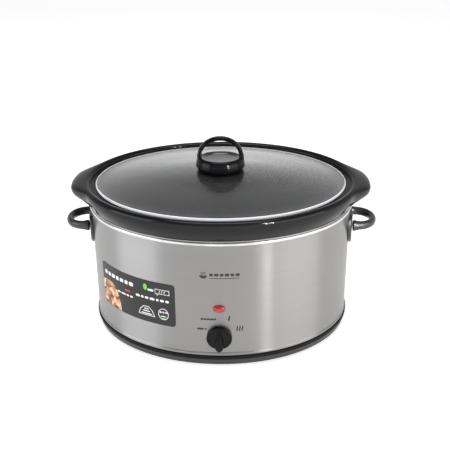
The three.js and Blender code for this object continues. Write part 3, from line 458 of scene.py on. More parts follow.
TRAY_SEAT = SHELL_BOTTOM - 0.3
TRAY_FLOOR = 5.0
TRAY_WALL = 2.6
CUP_RADIUS = 11.0
CUP_TOP = TRAY_FLOOR + 6.6
FOOT_AT = (118.0, 74.0)
VENT_AT = (11.0, 33.0)
VENT_Y = 46.0
tray_top = foot + 2.3
tray_foot = foot - 1.2
tray_inner = tray_foot - 2 * TRAY_WALL
tray_lip = foot - SHELL_WALL - 0.6
tray_points = [
    (0, TRAY_FLOOR, 0),
    (tray_inner - TRAY_WALL, TRAY_FLOOR, 0.8),
    (tray_inner, 3, 0.4),
    (tray_foot, 3, 0.8),
    (tray_foot + 1.2, 4.2, 0.4),
    (tray_top - 1.2, 12.3, 0.4),
    (tray_top, 12.9, 0.4),
    (tray_top, TRAY_SEAT, 0.9),
    (tray_lip, TRAY_SEAT, 0),
    (tray_lip, TRAY_SEAT + 5.5, 0.5),
    (tray_lip - TRAY_WALL, TRAY_SEAT + 5.5, 0.5),
    (tray_inner - 1.6, TRAY_FLOOR + 5.6, 1.2),
    (tray_inner - 5.6, TRAY_FLOOR + TRAY_WALL, 1.2),
    (0, TRAY_FLOOR + TRAY_WALL, 0),
]
cup = bmesh.new()
rod(cup, CUP_RADIUS + TRAY_WALL, TRAY_FLOOR + TRAY_WALL / 2, CUP_TOP + TRAY_WALL)
tray_bm = carved(oval_lathe(tray_points, 240, closed=False), cup, "UNION")
holes = bmesh.new()
rod(holes, CUP_RADIUS, 0, CUP_TOP)
rod(holes, 3.3, CUP_TOP - 1, CUP_TOP + 2 * TRAY_WALL)
for side_x in (-1, 1):
    for side_y in (-1, 1):
        rod(holes, 4.0, 0, TRAY_FLOOR + 2 * TRAY_WALL, side_x * FOOT_AT[0], side_y * FOOT_AT[1])
        for x in VENT_AT:
            slot_centre = (side_x * x * MM, side_y * VENT_Y * MM + CENTRE_Y, TRAY_FLOOR * MM)
            slot_place = Matrix.Translation(slot_centre)
            slot_size = Matrix.Diagonal((4 * MM, 26 * MM, 12 * MM, 1))
            bmesh.ops.create_cube(holes, size=1, matrix=slot_place @ slot_size)
tray = object_from(carved(tray_bm, holes), "tray_skirt", tray_plastic, tray_painted_shade)
# The band above the step takes the darker copy of the plastic, as painted shade.
for polygon in tray.data.polygons:
    polygon.material_index = 1 if polygon.center.z > 12.95 * MM else 0
fit(tray, "cooker", "tray_plastic", "base_tray")

# %% [markdown]
# ## Stoneware crock
# The crock hangs in the shell by its collar. It is thick stoneware under a black glaze: the collar leans
# out, rolls over a crest, drops into a ledge for the lid, and runs down into a deep oval bowl. Two ears
# at the ends are the collar drawn out sideways. The section is spun first, and then the outer face is
# pulled out along X, strongest in the middle of each end and fading to nothing round the corner.

# %% Crock section
WELL_TOP = 187.3
WELL_HALF = 168.5
WELL_DRAFT = 5.5
WELL_FLOOR = 40.0
CROCK_FLOOR = 43.7
COLLAR_BOTTOM = 187.6
COLLAR_FOOT = 181.5
COLLAR_WIDEST = 190.3
CREST_Z = 216.2
LEDGE_Z = 209.0
EAR_REACH = 15.2
EAR_DROP = 2.5
EAR_FULL = 24.0
EAR_END = 60.0


def well_half(z):
    return WELL_HALF - WELL_DRAFT * (WELL_TOP - z) / (WELL_TOP - WELL_FLOOR)


def crock_half(z):
    return well_half(z) - 3.0


def quarter(centre_a, centre_z, radius_a, radius_z, start, stop, steps):
    """Points along an elliptic arc, for corners too large for a vertex bevel."""
    turns = [math.radians(start + (stop - start) * i / steps) for i in range(steps + 1)]
    return [(centre_a + radius_a * math.cos(t), centre_z + radius_z * math.sin(t), 0) for t in turns]


corner_top = CROCK_FLOOR + 26
corner_at = crock_half(CROCK_FLOOR) - 26
outside = crock_half(corner_top)
inner_top = crock_half(COLLAR_BOTTOM) - 7
crest_low = CREST_Z - 4.6
lean = [(COLLAR_FOOT + 8.8 * math.sin(t * math.pi / 2), COLLAR_BOTTOM + (crest_low - COLLAR_BOTTOM) * t, 0)
        for t in (0.12, 0.25, 0.37, 0.5, 0.62, 0.75, 0.87)]
crock_points = [
    (0, CROCK_FLOOR, 0),
    *quarter(corner_at, corner_top, outside - corner_at, 26, -90, 0, 10),
    *[(crock_half(z), z, 0) for z in (100, 130, 160)],
    (crock_half(COLLAR_BOTTOM), COLLAR_BOTTOM, 0.8),
    (COLLAR_FOOT, COLLAR_BOTTOM, 0.8),
    *lean,
    *quarter(COLLAR_WIDEST - 5.2, crest_low, 5.2, 4.6, 0, 180, 16),
    (COLLAR_WIDEST - 11, LEDGE_Z, 1.2),
    (165, LEDGE_Z, 1.8),
    (inner_top + 1, LEDGE_Z - 4, 1.2),
    (inner_top, LEDGE_Z - 12, 2.0),
    *[(crock_half(z) - 7, z, 0) for z in (160, 130, 100)],
    *quarter(corner_at, corner_top, outside - corner_at - 7, 19, 0, -90, 10),
    (0, CROCK_FLOOR + 7, 0),
]


def smoothstep(value, low, high):
    t = min(1.0, max(0.0, (value - low) / (high - low)))
    return t * t * (3 - 2 * t)


def draw_ears(bm):
    depth = oval_depth(COLLAR_WIDEST)
    for vert in bm.verts:
        x, y, z = vert.co.x / MM, (vert.co.y - CENTRE_Y) / MM, vert.co.z / MM
        if z < COLLAR_BOTTOM - 0.01 or abs(x) < 1:
            continue
        plain = math.sqrt(max(0.0, 1 - (y / depth) ** 2)) * COLLAR_FOOT
        share = min(1.0, max(0.0, (abs(x) - plain) / 8.8))
        pull = (1 - smoothstep(abs(y), EAR_FULL, EAR_END)) * share * share * (3 - 2 * share)
        vert.co.x += math.copysign(EAR_REACH * pull * MM, x)
        vert.co.z -= EAR_DROP * pull * MM
    return bm


# %% [markdown]
# ## Black glaze
# Glaze is glass melted on to clay. Its colour is nearly black, and what the eye reads is the sharp mirror
# on top, so the shader is dark with a thin clear coat. A very slow bump gives the soft waviness of fired
# glaze, and a few fine specks break the perfect black.

# %% Glaze
def glazed(name, color):
    material = principled(name, color, 0.2, 0.0, Coat_Weight=0.4, Coat_Roughness=0.03,
                          Specular_IOR_Level=0.03)
    nodes, links = nodes_of(material)
    specks = noise(material, 420, 2)
    cloudy = tuple(c * 1.5 for c in color)
    links.new(ramp(material, specks.outputs["Fac"], color, cloudy, 0.55, 0.8),
              nodes["Principled BSDF"].inputs["Base Color"])
    waves = noise(material, 26, 1)
    links.new(span(material, waves.outputs["Fac"], 0.14, 0.24), nodes["Principled BSDF"].inputs["Roughness"])
    bump(material, waves.outputs["Fac"], 0.12)
    return material


stoneware = glazed("stoneware_glaze", (0.004, 0.004, 0.0045))
crock = object_from(draw_ears(oval_lathe(crock_points, 240, closed=False)), "crock_pot", stoneware)
fit(crock, "crock", "stoneware_glaze", "crock")
glazed_pieces.objects.link(crock)

# %% [markdown]
# ## Heating well
# Under the crock is a deep drawn pan of thin aluminised sheet, with a flange that rests on the shell's top
# edge. It shows when the crock is lifted out. Drawn sheet has a soft cloudy sheen from the dies, and heat
# leaves it a little uneven, so broad noise moves both colour and roughness.

# %% Well
WELL_WALL = 1.0
WELL_CORNER = 22.0
well_metal = sheet_metal("well_metal", (0.6, 0.61, 0.62), 0.36)
well_corner_z = WELL_FLOOR + WELL_CORNER
well_corner_a = well_half(WELL_FLOOR) - WELL_CORNER
well_side = well_half(well_corner_z) - well_corner_a
well_points = [
    (0, WELL_FLOOR, 0),
    *quarter(well_corner_a, well_corner_z, well_side, WELL_CORNER, -90, 0, 10),
    (well_half(WELL_TOP), WELL_TOP - WELL_WALL, 0),
    (SHELL_HALF + 1.3, WELL_TOP - WELL_WALL, 0.3),
    (SHELL_HALF + 1.3, WELL_TOP, 0.3),
    (well_half(WELL_TOP) - WELL_WALL, WELL_TOP, 1.4),
    *quarter(well_corner_a, well_corner_z, well_side - WELL_WALL, WELL_CORNER - WELL_WALL, 0, -90, 10),
    (0, WELL_FLOOR + WELL_WALL, 0),
]
well = object_from(oval_lathe(well_points, 240, closed=False), "well_pan", well_metal)
fit(well, "cooker", "well_metal", "heating_well")

# %% [markdown]
# ## Glass lid
# The lid is one pane of tempered glass pressed into a shallow dome, with a bare ground edge that catches
# the light as a pale line. The pane is clear; only the edge is frosted, so it has its own material, which
# also glows faintly: a painted highlight that makes the pale line brighter.

# %% Lid
LID_HALF = 171.7
LID_SEAT = 209.3
LID_GLASS = 4.4
LID_APEX = 228.3
LID_RISE = 14.6
DOME_EDGE = LID_HALF - 7.5


def lid_top(a):
    return LID_APEX - LID_RISE * (a / DOME_EDGE) ** 2


clear_glass = principled("clear_glass", (0.94, 0.96, 0.955), 0.0, 0.0, Transmission_Weight=1.0, IOR=1.45,
                         Specular_IOR_Level=0.0, Coat_Weight=1.0, Coat_Roughness=0.34, Coat_IOR=1.6)
# The frosted edge gets a faint glow of its own: a painted highlight along the edge, not a lamp.
frosted_edge_and_glow = principled("frosted_edge_and_glow", (0.88, 0.9, 0.92), 0.4, 0.0, Emission_Strength=0.26)
frosted_edge_and_glow.node_tree.nodes["Principled BSDF"].inputs["Emission Color"].default_value = (0.92, 0.94, 1.0, 1)
dome = [DOME_EDGE * i / 16 for i in range(17)]
under = [(a, lid_top(a) - LID_GLASS, 0) for a in dome if a > 4]
over = [(a, lid_top(a), 0) for a in reversed(dome) if a > 4]
rim = quarter(LID_HALF - LID_GLASS / 2, LID_SEAT + LID_GLASS / 2, LID_GLASS / 2, LID_GLASS / 2, -90, 90, 10)
lid_points = [(3.4, LID_APEX - LID_GLASS, 0), *under, *rim, *over, (3.4, LID_APEX, 0)]
lid = object_from(oval_lathe(lid_points, 240), "lid_pane", clear_glass, frosted_edge_and_glow)
for polygon in lid.data.polygons:
    a = math.hypot(polygon.center.x, (polygon.center.y - CENTRE_Y) * LID_HALF / oval_depth(LID_HALF)) / MM
    polygon.material_index = 1 if a > LID_HALF - 1.8 else 0
fit(lid, "lid", "lid_glass", "lid_glass")

# %% [markdown]
# ## Lid knob
# The knob is one black moulding: a dished oval base with a rounded rim, and an arch over it for the
# fingers. The base is spun and squeezed to an oval. The arch is swept: one oval section is extruded a step
# at a time, and each new ring is placed square to the path. The ring widens at both feet, which gives the
# soft root where the arch grows out of the rim.

# %% Sweep helper
def sweep(bm, rings):
    """Extrudes one ring of vertices through a list of placed rings, then caps both ends."""
    first = [bm.verts.new(point) for point in rings[0]]
    edges = [bm.edges.new((first[i - 1], first[i])) for i in range(len(first))]
    bm.faces.new(first)
    for ring in rings[1:]:
        made = bmesh.ops.extrude_edge_only(bm, edges=edges)["geom"]
        fresh = [item for item in made if isinstance(item, bmesh.types.BMVert)]
        edges = [item for item in made if isinstance(item, bmesh.types.BMEdge)
                 and item.verts[0] in fresh and item.verts[1] in fresh]
        for vert, point in zip(fresh, ring):
            vert.co = point
    bmesh.ops.contextual_create(bm, geom=edges)
    bmesh.ops.recalc_face_normals(bm, faces=bm.faces[:])
    return bm


def ring_on(path, index, across, half_across, half_along, flare, count=28):
    """An oval ring square to a path at one of its points; across is the direction that stays level."""
    before = path[max(0, index - 1)]
    after = path[min(len(path) - 1, index + 1)]
    forward = (after - before).normalized()
    outward = forward.cross(across).normalized()
    turns = [2 * math.pi * i / count for i in range(count)]
    wide = across * half_across * flare
    long = outward * half_along * flare
    return [path[index] + wide * math.cos(t) + long * math.sin(t) for t in turns]


def test_order():
    """Extrusion must return vertices in ring order, or the sweep would twist."""
    bm = bmesh.new()
    sweep(bm, [[Vector((math.cos(t), math.sin(t), z)) for t in (0, 1, 2, 3, 4, 5)] for z in (0, 1, 2)])
    length = max(edge.calc_length() for edge in bm.edges)
    bm.free()
    return length


print("longest edge in a test sweep:", round(test_order(), 3))

# %% Knob
KNOB_HALF = 33.5
KNOB_DEPTH = 27.0
KNOB_BOTTOM = 230.1
KNOB_RIM_Z = 244.9
knob_foot = KNOB_BOTTOM - 1.0
KNOB_EDGE = 2.0
KNOB_SHOULDER = 6.0
KNOB_RIM = 2.0
KNOB_DISH = 2.4
ARCH_SQUARENESS = 2.05
ARCH_RADII = (4.7, 3.0)
knob_widest = knob_foot + 3 * KNOB_EDGE
knob_turns = [math.radians(10 * i) for i in range(10)]
knob_points = [
    (0, KNOB_BOTTOM, 0),
    (13, KNOB_BOTTOM, 0.2),
    (13.3, knob_foot, 0.2),
    (KNOB_HALF - KNOB_EDGE, knob_foot, 0.6),
    (KNOB_HALF, knob_foot + 2 * KNOB_EDGE, 1.0),
    *[(KNOB_HALF - KNOB_SHOULDER * (1 - math.cos(t)),
       knob_widest + (KNOB_RIM_Z - knob_widest) * math.sin(t), 0) for t in knob_turns],
    (KNOB_HALF - KNOB_SHOULDER - KNOB_RIM, KNOB_RIM_Z, 0.8),
    (KNOB_HALF - KNOB_SHOULDER - 2 * KNOB_RIM, KNOB_RIM_Z - KNOB_DISH, 1.2),
    (0, KNOB_RIM_Z - KNOB_DISH, 0),
]
knob_bm = lathe(knob_points, 96, closed=False)
bmesh.ops.scale(knob_bm, vec=(1, KNOB_DEPTH / KNOB_HALF, 1), verts=knob_bm.verts[:])
arch_half = (31.7 - ARCH_RADII[1]) * MM
arch_rise = (29.2 - ARCH_RADII[1]) * MM
arch_path = [Vector((-arch_half, 0, (KNOB_RIM_Z - 6) * MM)), Vector((-arch_half, 0, (KNOB_RIM_Z - 3) * MM))]
for i in range(41):
    turn = math.pi * (1 - i / 40)
    side = math.copysign(abs(math.cos(turn)) ** (2 / ARCH_SQUARENESS), math.cos(turn))
    height = KNOB_RIM_Z * MM + arch_rise * abs(math.sin(turn)) ** (2 / ARCH_SQUARENESS)
    arch_path.append(Vector((arch_half * side, 0, height)))
arch_path += [Vector((arch_half, 0, (KNOB_RIM_Z - 3) * MM)), Vector((arch_half, 0, (KNOB_RIM_Z - 6) * MM))]
arch_rings = []
for i, point in enumerate(arch_path):
    lift = point.z / MM - KNOB_RIM_Z
    flare = 1 + 0.25 * math.exp(-max(0, lift) / 3)
    arch_rings.append(ring_on(arch_path, i, Vector((0, 1, 0)), ARCH_RADII[0] * MM, ARCH_RADII[1] * MM, flare))
sweep(knob_bm, arch_rings)
bmesh.ops.translate(knob_bm, vec=(0, CENTRE_Y, 0), verts=knob_bm.verts[:])
dish_gloss = moulded("dish_gloss", (0.012, 0.012, 0.013), 0.24, 60, 0.01, 1.0)
dish_gloss.node_tree.nodes["Principled BSDF"].inputs["Coat Weight"].default_value = 1.0
knob = object_from(knob_bm, "arched_knob", handle_plastic, dish_gloss)
for polygon in knob.data.polygons:
    a = math.hypot(polygon.center.x, (polygon.center.y - CENTRE_Y) * KNOB_HALF / KNOB_DEPTH) / MM
    below_rim = KNOB_RIM_Z - polygon.center.z / MM
    in_dish = a < KNOB_HALF - KNOB_SHOULDER - KNOB_RIM and abs(below_rim - 1.5) < 1.4
    polygon.material_index = 1 if in_dish else 0
glazed_pieces.objects.link(knob)
fit(knob, "lid", "black_bakelite", "lid_knob")

# %% [markdown]
# ## Side handles
# Each handle is a loop on a shield-shaped plate that follows the shell. The plate starts as a flat outline
# with rounded corners, is extruded to its thickness, bevelled, and cut into slices so that it has enough
# points to bend. Bending moves every point by the depth of the shell's oval at its place.

# %% Handles
HANDLE_Z = 153.0
BAR_HALF_HEIGHT = 6.0
BAR_HALF_WIDTH = 4.75
PLATE_THICKNESS = 4.2


def shell_end(y, z):
    """How far out the shell's end wall stands at y and z, in millimetres."""
    half = shell_half(z)
    return half * math.sqrt(max(0.0, 1 - (y / oval_depth(half)) ** 2))


def curve_outline(*curves):
    """Points in the YZ plane along joined Bezier curves, each (start, handle, handle, end), in mm."""
    points = []
    for curve in curves:
        knots = [Vector((0, y * MM, z * MM)) for y, z in curve]
        points += interpolate_bezier(*knots, 12)[:-1]
    return points


def slices(bm, direction, places):
    """Cuts new edges across a shape at each place along a direction, in millimetres, so that it can bend."""
    for place in places:
        bmesh.ops.bisect_plane(bm, geom=bm.verts[:] + bm.edges[:] + bm.faces[:], dist=1e-7,
                               plane_co=Vector(direction) * place * MM, plane_no=direction)


def handle(side, name, node):
    right_side = ((2, 118.5), (12, 118.5), (34, 131), (34, 151))
    right_top = ((34, 151), (34, 163.5), (30, 167.5), (22, 167.5))
    left_top = ((-22, 167.5), (-30, 167.5), (-34, 163.5), (-34, 151))
    left_side = ((-34, 151), (-34, 131), (-12, 118.5), (-2, 118.5))
    bm = bmesh.new()
    corners = [bm.verts.new(point) for point in curve_outline(right_side, right_top, left_top, left_side)]
    corners += [bm.verts.new((0, -2 * MM, 118.5 * MM))]
    for i in range(len(corners)):
        bm.edges.new((corners[i - 1], corners[i]))
    face = bmesh.ops.contextual_create(bm, geom=bm.edges[:])["faces"][0]
    made = bmesh.ops.extrude_face_region(bm, geom=[face])["geom"]
    outer = [v for v in made if isinstance(v, bmesh.types.BMVert)]
    bmesh.ops.translate(bm, vec=(PLATE_THICKNESS * MM, 0, 0), verts=outer)
    bmesh.ops.recalc_face_normals(bm, faces=bm.faces[:])
    edges = [e for e in bm.edges if all(v.co.x > PLATE_THICKNESS * MM / 2 for v in e.verts)]
    bmesh.ops.bevel(bm, geom=edges, offset=1.5 * MM, offset_type="OFFSET", segments=4, profile=0.5,
                    affect="EDGES", material=-1)
    slices(bm, (0, 1, 0), range(-32, 33, 4))
    slices(bm, (0, 0, 1), range(122, 166, 8))
    for vert in bm.verts:
        vert.co.x += (shell_end(vert.co.y / MM, vert.co.z / MM) + 0.3) * MM
    root = (shell_half(HANDLE_Z) + 3.0) * MM
    reach = (SHELL_HALF + 39 - BAR_HALF_WIDTH) * MM - root
    half = (29.5 - BAR_HALF_WIDTH) * MM
    path = [Vector((root, -half, HANDLE_Z * MM))]
    for i in range(33):
        turn = math.pi * (i / 32 - 0.5)
        bow = abs(math.cos(turn)) ** 0.75
        path.append(Vector((root + 2 * MM + (reach - 2 * MM) * bow, half * math.sin(turn), HANDLE_Z * MM)))
    path.append(Vector((root, half, HANDLE_Z * MM)))
    rings = []
    for i, point in enumerate(path):
        away = (point.x - root) / MM - 3
        rings.append(ring_on(path, i, Vector((0, 0, 1)), BAR_HALF_HEIGHT * MM, BAR_HALF_WIDTH * MM,
                             1 + 0.3 * math.exp(-max(0, away) / 3)))
    sweep(bm, rings)
    if side < 0:
        bmesh.ops.rotate(bm, cent=(0, 0, 0), matrix=Matrix.Rotation(math.pi, 3, "Z"), verts=bm.verts[:])
    bmesh.ops.translate(bm, vec=(0, CENTRE_Y, 0), verts=bm.verts[:])
    loop = object_from(bm, name, loop_plastic)
    glazed_pieces.objects.link(loop)
    return fit(loop, "cooker", "black_bakelite", node)


handle(1, "loop_handle_right", "side_handle_right")
handle(-1, "loop_handle_left", "side_handle_left")

# %% [markdown]
# ## Heat dial
# The dial is a thick disc with a grip across it: a ridge that is wide and tall at one end, and narrows and
# slopes down to a pointer at the other. The disc is spun. The grip is a flat outline, extruded, sloped by
# moving its top points, and bevelled so that its upper edges catch a line of light.

# %% Dial
DIAL_Z = 48.0
DIAL_RADIUS = 16.7
DIAL_DISC = 4.4
DIAL_WALL = -(oval_depth(shell_half(DIAL_Z)) + 1.0)


def onto_front(bm, x, y, z):
    """Turns a shape built facing up so that it faces the front, and moves it to its place in millimetres."""
    bmesh.ops.rotate(bm, cent=(0, 0, 0), matrix=Matrix.Rotation(math.pi / 2, 3, "X"), verts=bm.verts[:])
    bmesh.ops.translate(bm, vec=Vector((x * MM, y * MM + CENTRE_Y, z * MM)), verts=bm.verts[:])
    return bm


def dial_shape():
    disc = [
        (0, 0, 0),
        (DIAL_RADIUS, 0, 0.3),
        (DIAL_RADIUS, DIAL_DISC, 1.0),
        (DIAL_RADIUS - 2.4, DIAL_DISC, 0.5),
        (DIAL_RADIUS - 3.2, DIAL_DISC - 0.5, 0.4),
        (0, DIAL_DISC - 0.5, 0),
    ]
    bm = lathe(disc, 96, closed=False)
    blunt = [(5.9 * math.cos(t), -8.2 + 5.9 * math.sin(t)) for t in
             [math.radians(-170 + 160 * i / 14) for i in range(15)]]
    tip = [(1.4 * math.cos(t), 13.6 + 1.4 * math.sin(t)) for t in
           [math.radians(10 + 160 * i / 6) for i in range(7)]]
    corners = [bm.verts.new((x * MM, y * MM, 1.0 * MM)) for x, y in blunt + tip]
    face = bm.faces.new(corners)
    made = bmesh.ops.extrude_face_region(bm, geom=[face])["geom"]
    top = [item for item in made if isinstance(item, bmesh.types.BMVert)]
    for vert in top:
        share = (15 - vert.co.y / MM) / 29.1
        vert.co.z = (DIAL_DISC + 1.6 + 8.0 * share) * MM
        vert.co.x *= 1 - 0.12 * share
    edges = [edge for edge in bm.edges if edge.verts[0] in top and edge.verts[1] in top]
    bmesh.ops.bevel(bm, geom=edges, offset=0.9 * MM, offset_type="OFFSET", segments=3, profile=0.5,
                    affect="EDGES", material=-1)
    bmesh.ops.recalc_face_normals(bm, faces=bm.faces[:])
    return bm


dial_plastic = moulded("dial_plastic", (0.0025, 0.0025, 0.003), 0.2, 300, 0.004, 0.06, 0.25)
dial = object_from(onto_front(dial_shape(), 0, DIAL_WALL, DIAL_Z), "pointer_dial", dial_plastic)
fit(dial, "dial", "black_bakelite", "control_dial")

# %% [markdown]
# ## Indicator lamp
# A red jewel that glows when the cooker is on. It is a shallow oval dome with a thin flat rim. The plastic
# is clear red, so the shader lets some light through and gives a little of its own.

# %% Lamp
LAMP_Z = 90.8
lens_points = [
    (0, 0.5, 0),
    (0.98, 0.5, 0.02),
    (1.0, 1.1, 0.03),
    (0.86, 1.5, 0.05),
    (0.8, 2.3, 0.1),
    *[(0.8 * math.cos(t), 2.0 + 1.6 * math.sin(t), 0) for t in [math.radians(20 + 14 * i) for i in range(5)]],
    (0, 3.6, 0),
]
lens_bm = lathe(lens_points, 64, closed=False)
bmesh.ops.scale(lens_bm, vec=(8.25, 5.25, 1), verts=lens_bm.verts[:])
red_lens = principled("red_lens", (0.4, 0.006, 0.009), 0.16, 0.0, Coat_Weight=0.6, Coat_Roughness=0.05,
                      Transmission_Weight=0.15, Emission_Strength=0.06)
red_lens.node_tree.nodes["Principled BSDF"].inputs["Emission Color"].default_value = (0.8, 0.03, 0.02, 1)
lamp_wall = -oval_depth(shell_half(LAMP_Z))
lens = object_from(onto_front(lens_bm, 0, lamp_wall, LAMP_Z), "lamp_jewel", red_lens)
fit(lens, "cooker", "red_lens", "indicator_lens")

# %% [markdown]
# ## Printed marks and label
# Marks are thin films that hug the wall. Each film is drawn flat, as a distance round the wall and a
# height, then cut into slices, laid on the oval and given a hair of thickness. Round the wall means along
# the curve, so shapes keep their true width on the side of the cooker, where the wall turns away.

# %% Films on the wall
WALL_STEPS = 2000
MIDDLE_HALF = shell_half(90)


def wall_table():
    """Pairs of distance round the wall and angle, from the front middle to the end."""
    depth = oval_depth(MIDDLE_HALF)
    pairs = [(0.0, 0.0)]
    distance = 0.0
    for i in range(WALL_STEPS):
        turn = math.pi / 2 * (i + 0.5) / WALL_STEPS
        step = math.hypot(MIDDLE_HALF * math.cos(turn), depth * math.sin(turn)) * math.pi / 2 / WALL_STEPS
        distance += step
        pairs.append((distance, math.pi / 2 * (i + 1) / WALL_STEPS))
    return pairs


WALL_TABLE = wall_table()


def wall_turn(distance):
    """The oval's angle at a distance round the wall from the front middle."""
    low, high = 0, WALL_STEPS
    while high - low > 1:
        middle = (low + high) // 2
        if WALL_TABLE[middle][0] < abs(distance):
            low = middle
        else:
            high = middle
    (d0, t0), (d1, t1) = WALL_TABLE[low], WALL_TABLE[high]
    return math.copysign(t0 + (t1 - t0) * (abs(distance) - d0) / (d1 - d0), distance)


def on_wall(distance, z, lift):
    turn = wall_turn(distance)
    half = shell_half(z)
    depth = oval_depth(half)
    normal = Vector((math.sin(turn) / half, -math.cos(turn) / depth, 0)).normalized()
    point = Vector((half * math.sin(turn), -depth * math.cos(turn), z)) + normal * lift
    return point * MM + Vector((0, CENTRE_Y, 0))


def lay_film(bm, lift, thickness):
    """Lays a flat film, drawn as (distance, height) on X and Y in millimetres, on the wall."""
    low = min(vert.co.x for vert in bm.verts)
    high = max(vert.co.x for vert in bm.verts)
    places = [i for i in range(math.ceil(low), math.floor(high) + 1) if i % 3 == 0]
    for place in places:
        bmesh.ops.bisect_plane(bm, geom=bm.verts[:] + bm.edges[:] + bm.faces[:], dist=1e-5,
                               plane_co=(place, 0, 0), plane_no=(1, 0, 0))
    bmesh.ops.recalc_face_normals(bm, faces=bm.faces[:])
    made = bmesh.ops.extrude_face_region(bm, geom=bm.faces[:])["geom"]
    raised = set(item for item in made if isinstance(item, bmesh.types.BMVert))
    for vert in bm.verts:
        vert.co = on_wall(vert.co.x, vert.co.y, lift + (thickness if vert in raised else 0))
    bmesh.ops.recalc_face_normals(bm, faces=bm.faces[:])
    return bm


def shape(bm, points):
    bm.faces.new([bm.verts.new((x, y, 0)) for x, y in points])


def bar(bm, x, y, width, height):
    """A round-ended bar with its middle at x, y."""
    radius = height / 2
    ends = []
    for centre, start in ((x + width / 2 - radius, -90), (x - width / 2 + radius, 90)):
        ends += [(centre + radius * math.cos(math.radians(start + 30 * i)),
                  y + radius * math.sin(math.radians(start + 30 * i))) for i in range(7)]
    shape(bm, ends)


def block(bm, left, bottom, right, top, corner):
    """A rectangle with rounded corners."""
    points = []
    for cx, cy, start in ((right - corner, bottom + corner, -90), (right - corner, top - corner, 0),
                          (left + corner, top - corner, 90), (left + corner, bottom + corner, 180)):
        points += [(cx + corner * math.cos(math.radians(start + 18 * i)),
                    cy + corner * math.sin(math.radians(start + 18 * i))) for i in range(6)]
    shape(bm, points)


def wave(bm, x, y, length, swing, width, upright):
    """A wavy stroke, from a grid whose rows are swung from side to side."""
    made = bmesh.ops.create_grid(bm, x_segments=1, y_segments=12, size=0.5)["verts"]
    for vert in made:
        along = vert.co.y * length
        narrowing = 1 - 0.6 * abs(vert.co.y * 2) ** 3
        aside = vert.co.x * width * narrowing + swing * math.sin(vert.co.y * 2 * math.pi)
        vert.co = Vector((x + aside, y + along, 0)) if upright else Vector((x + along, y + aside, 0))


def film(name, draw, lift, thickness, material, slot, node=None):
    bm = bmesh.new()
    draw(bm)
    obj = object_from(lay_film(bm, lift, thickness), name, material)
    return fit(obj, "cooker", slot, *([node] if node else []))


# %% Dial marks
def ink(name, color, roughness=0.5, specular=0.5):
    material = principled(name, color, roughness, Specular_IOR_Level=specular)
    speckle = noise(material, 900, 2)
    nodes, links = nodes_of(material)
    soft = tuple(min(1.0, c * 1.25 + 0.004) for c in color)
    speckled = ramp(material, speckle.outputs["Fac"], color, soft)
    links.new(speckled, nodes["Principled BSDF"].inputs["Base Color"])
    bump(material, speckle.outputs["Fac"], 0.004)
    return material


grey_ink = ink("grey_ink", (0.02, 0.019, 0.018))


def dial_marks(bm):
    bar(bm, -24.4, 59.8, 9.0, 2.8)
    bmesh.ops.create_circle(bm, cap_ends=True, segments=20, radius=1.4,
                            matrix=Matrix.Translation((-17.6, 59.8, 0)))
    for i in range(5):
        wave(bm, -22.2 + 4.1 * i, 74.8, 4.1, 0.4, 2.9, upright=False)
    wave(bm, 12.9, 76.2, 8.6, 0.55, 2.3, upright=True)
    for x in (23.2, 26.6, 30.0):
        wave(bm, x, 60.2, 8.6, 0.55, 1.9, upright=True)


film("dial_marks", dial_marks, 0.02, 0.05, grey_ink, "print_ink")


def steam_sign(bm):
    """A small generic sign: a bowl with three curls of steam."""
    bowl = [(-19.5 + 5.0 * math.cos(t), 139.4 + 4.6 * math.sin(t)) for t in
            [math.radians(180 + 15 * i) for i in range(13)]]
    shape(bm, bowl)
    for x in (-21.8, -19.5, -17.2):
        wave(bm, x, 142.4, 4.0, 0.35, 1.1, upright=True)
    for i, width in enumerate((4.6, 5.6, 4.8, 5.8, 4.6, 5.2)):
        middle = -9.6 + 6.7 * i
        block(bm, middle - width / 2, 138.4, middle + width / 2, 142.2, 1.1)
    bar(bm, 7.0, 135.4, 38, 0.9)


film("steam_sign", steam_sign, 0.02, 0.05, grey_ink, "print_ink")

# %% [markdown]
# ## Label
# The label is a dark film with light printing, laid on the wall like the marks. Its words and badges are
# only bars, frames and simple shapes. The warm patch in the corner stands for a picture of a stew: a
# Voronoi texture gives the lumps, and a ramp on each lump's random shade gives it orange, cream or brown.

# %% Label
LABEL_LEFT, LABEL_RIGHT = -183.6, -57.2
LABEL_LOW, LABEL_TOP = 57.6, 120.9
label_film = ink("label_film", (0.026, 0.025, 0.025), 0.36, 0.25)
white_print = ink("white_print", (0.72, 0.72, 0.7), 0.5)
green_print = ink("green_print", (0.16, 0.5, 0.05), 0.5)
red_print = ink("red_print", (0.62, 0.05, 0.04), 0.5)


def stew_print():
    material = principled("stew_print", (0.5, 0.25, 0.1), 0.45)
    nodes, links = nodes_of(material)
    coordinates = nodes.new("ShaderNodeTexCoord")
    lumps = nodes.new("ShaderNodeTexVoronoi")
    lumps.inputs["Scale"].default_value = 190
    links.new(coordinates.outputs["Object"], lumps.inputs["Vector"])
    shades = nodes.new("ShaderNodeValToRGB")
    colors = [(0.0, (0.07, 0.02, 0.01)), (0.22, (0.24, 0.08, 0.03)), (0.42, (0.5, 0.27, 0.14)),
              (0.6, (0.68, 0.24, 0.04)), (0.8, (0.78, 0.52, 0.3)), (1.0, (0.75, 0.62, 0.45))]
    while len(shades.color_ramp.elements) < len(colors):
        shades.color_ramp.elements.new(0.5)
    for element, (place, color) in zip(shades.color_ramp.elements, colors):
        element.position = place
        element.color = (*color, 1)
    picked = nodes.new("ShaderNodeSeparateColor")
    links.new(lumps.outputs["Color"], picked.inputs["Color"])
    links.new(picked.outputs["Red"], shades.inputs["Fac"])
    links.new(shades.outputs["Color"], nodes["Principled BSDF"].inputs["Base Color"])
    bump(material, lumps.outputs["Distance"], 0.004)
    return material


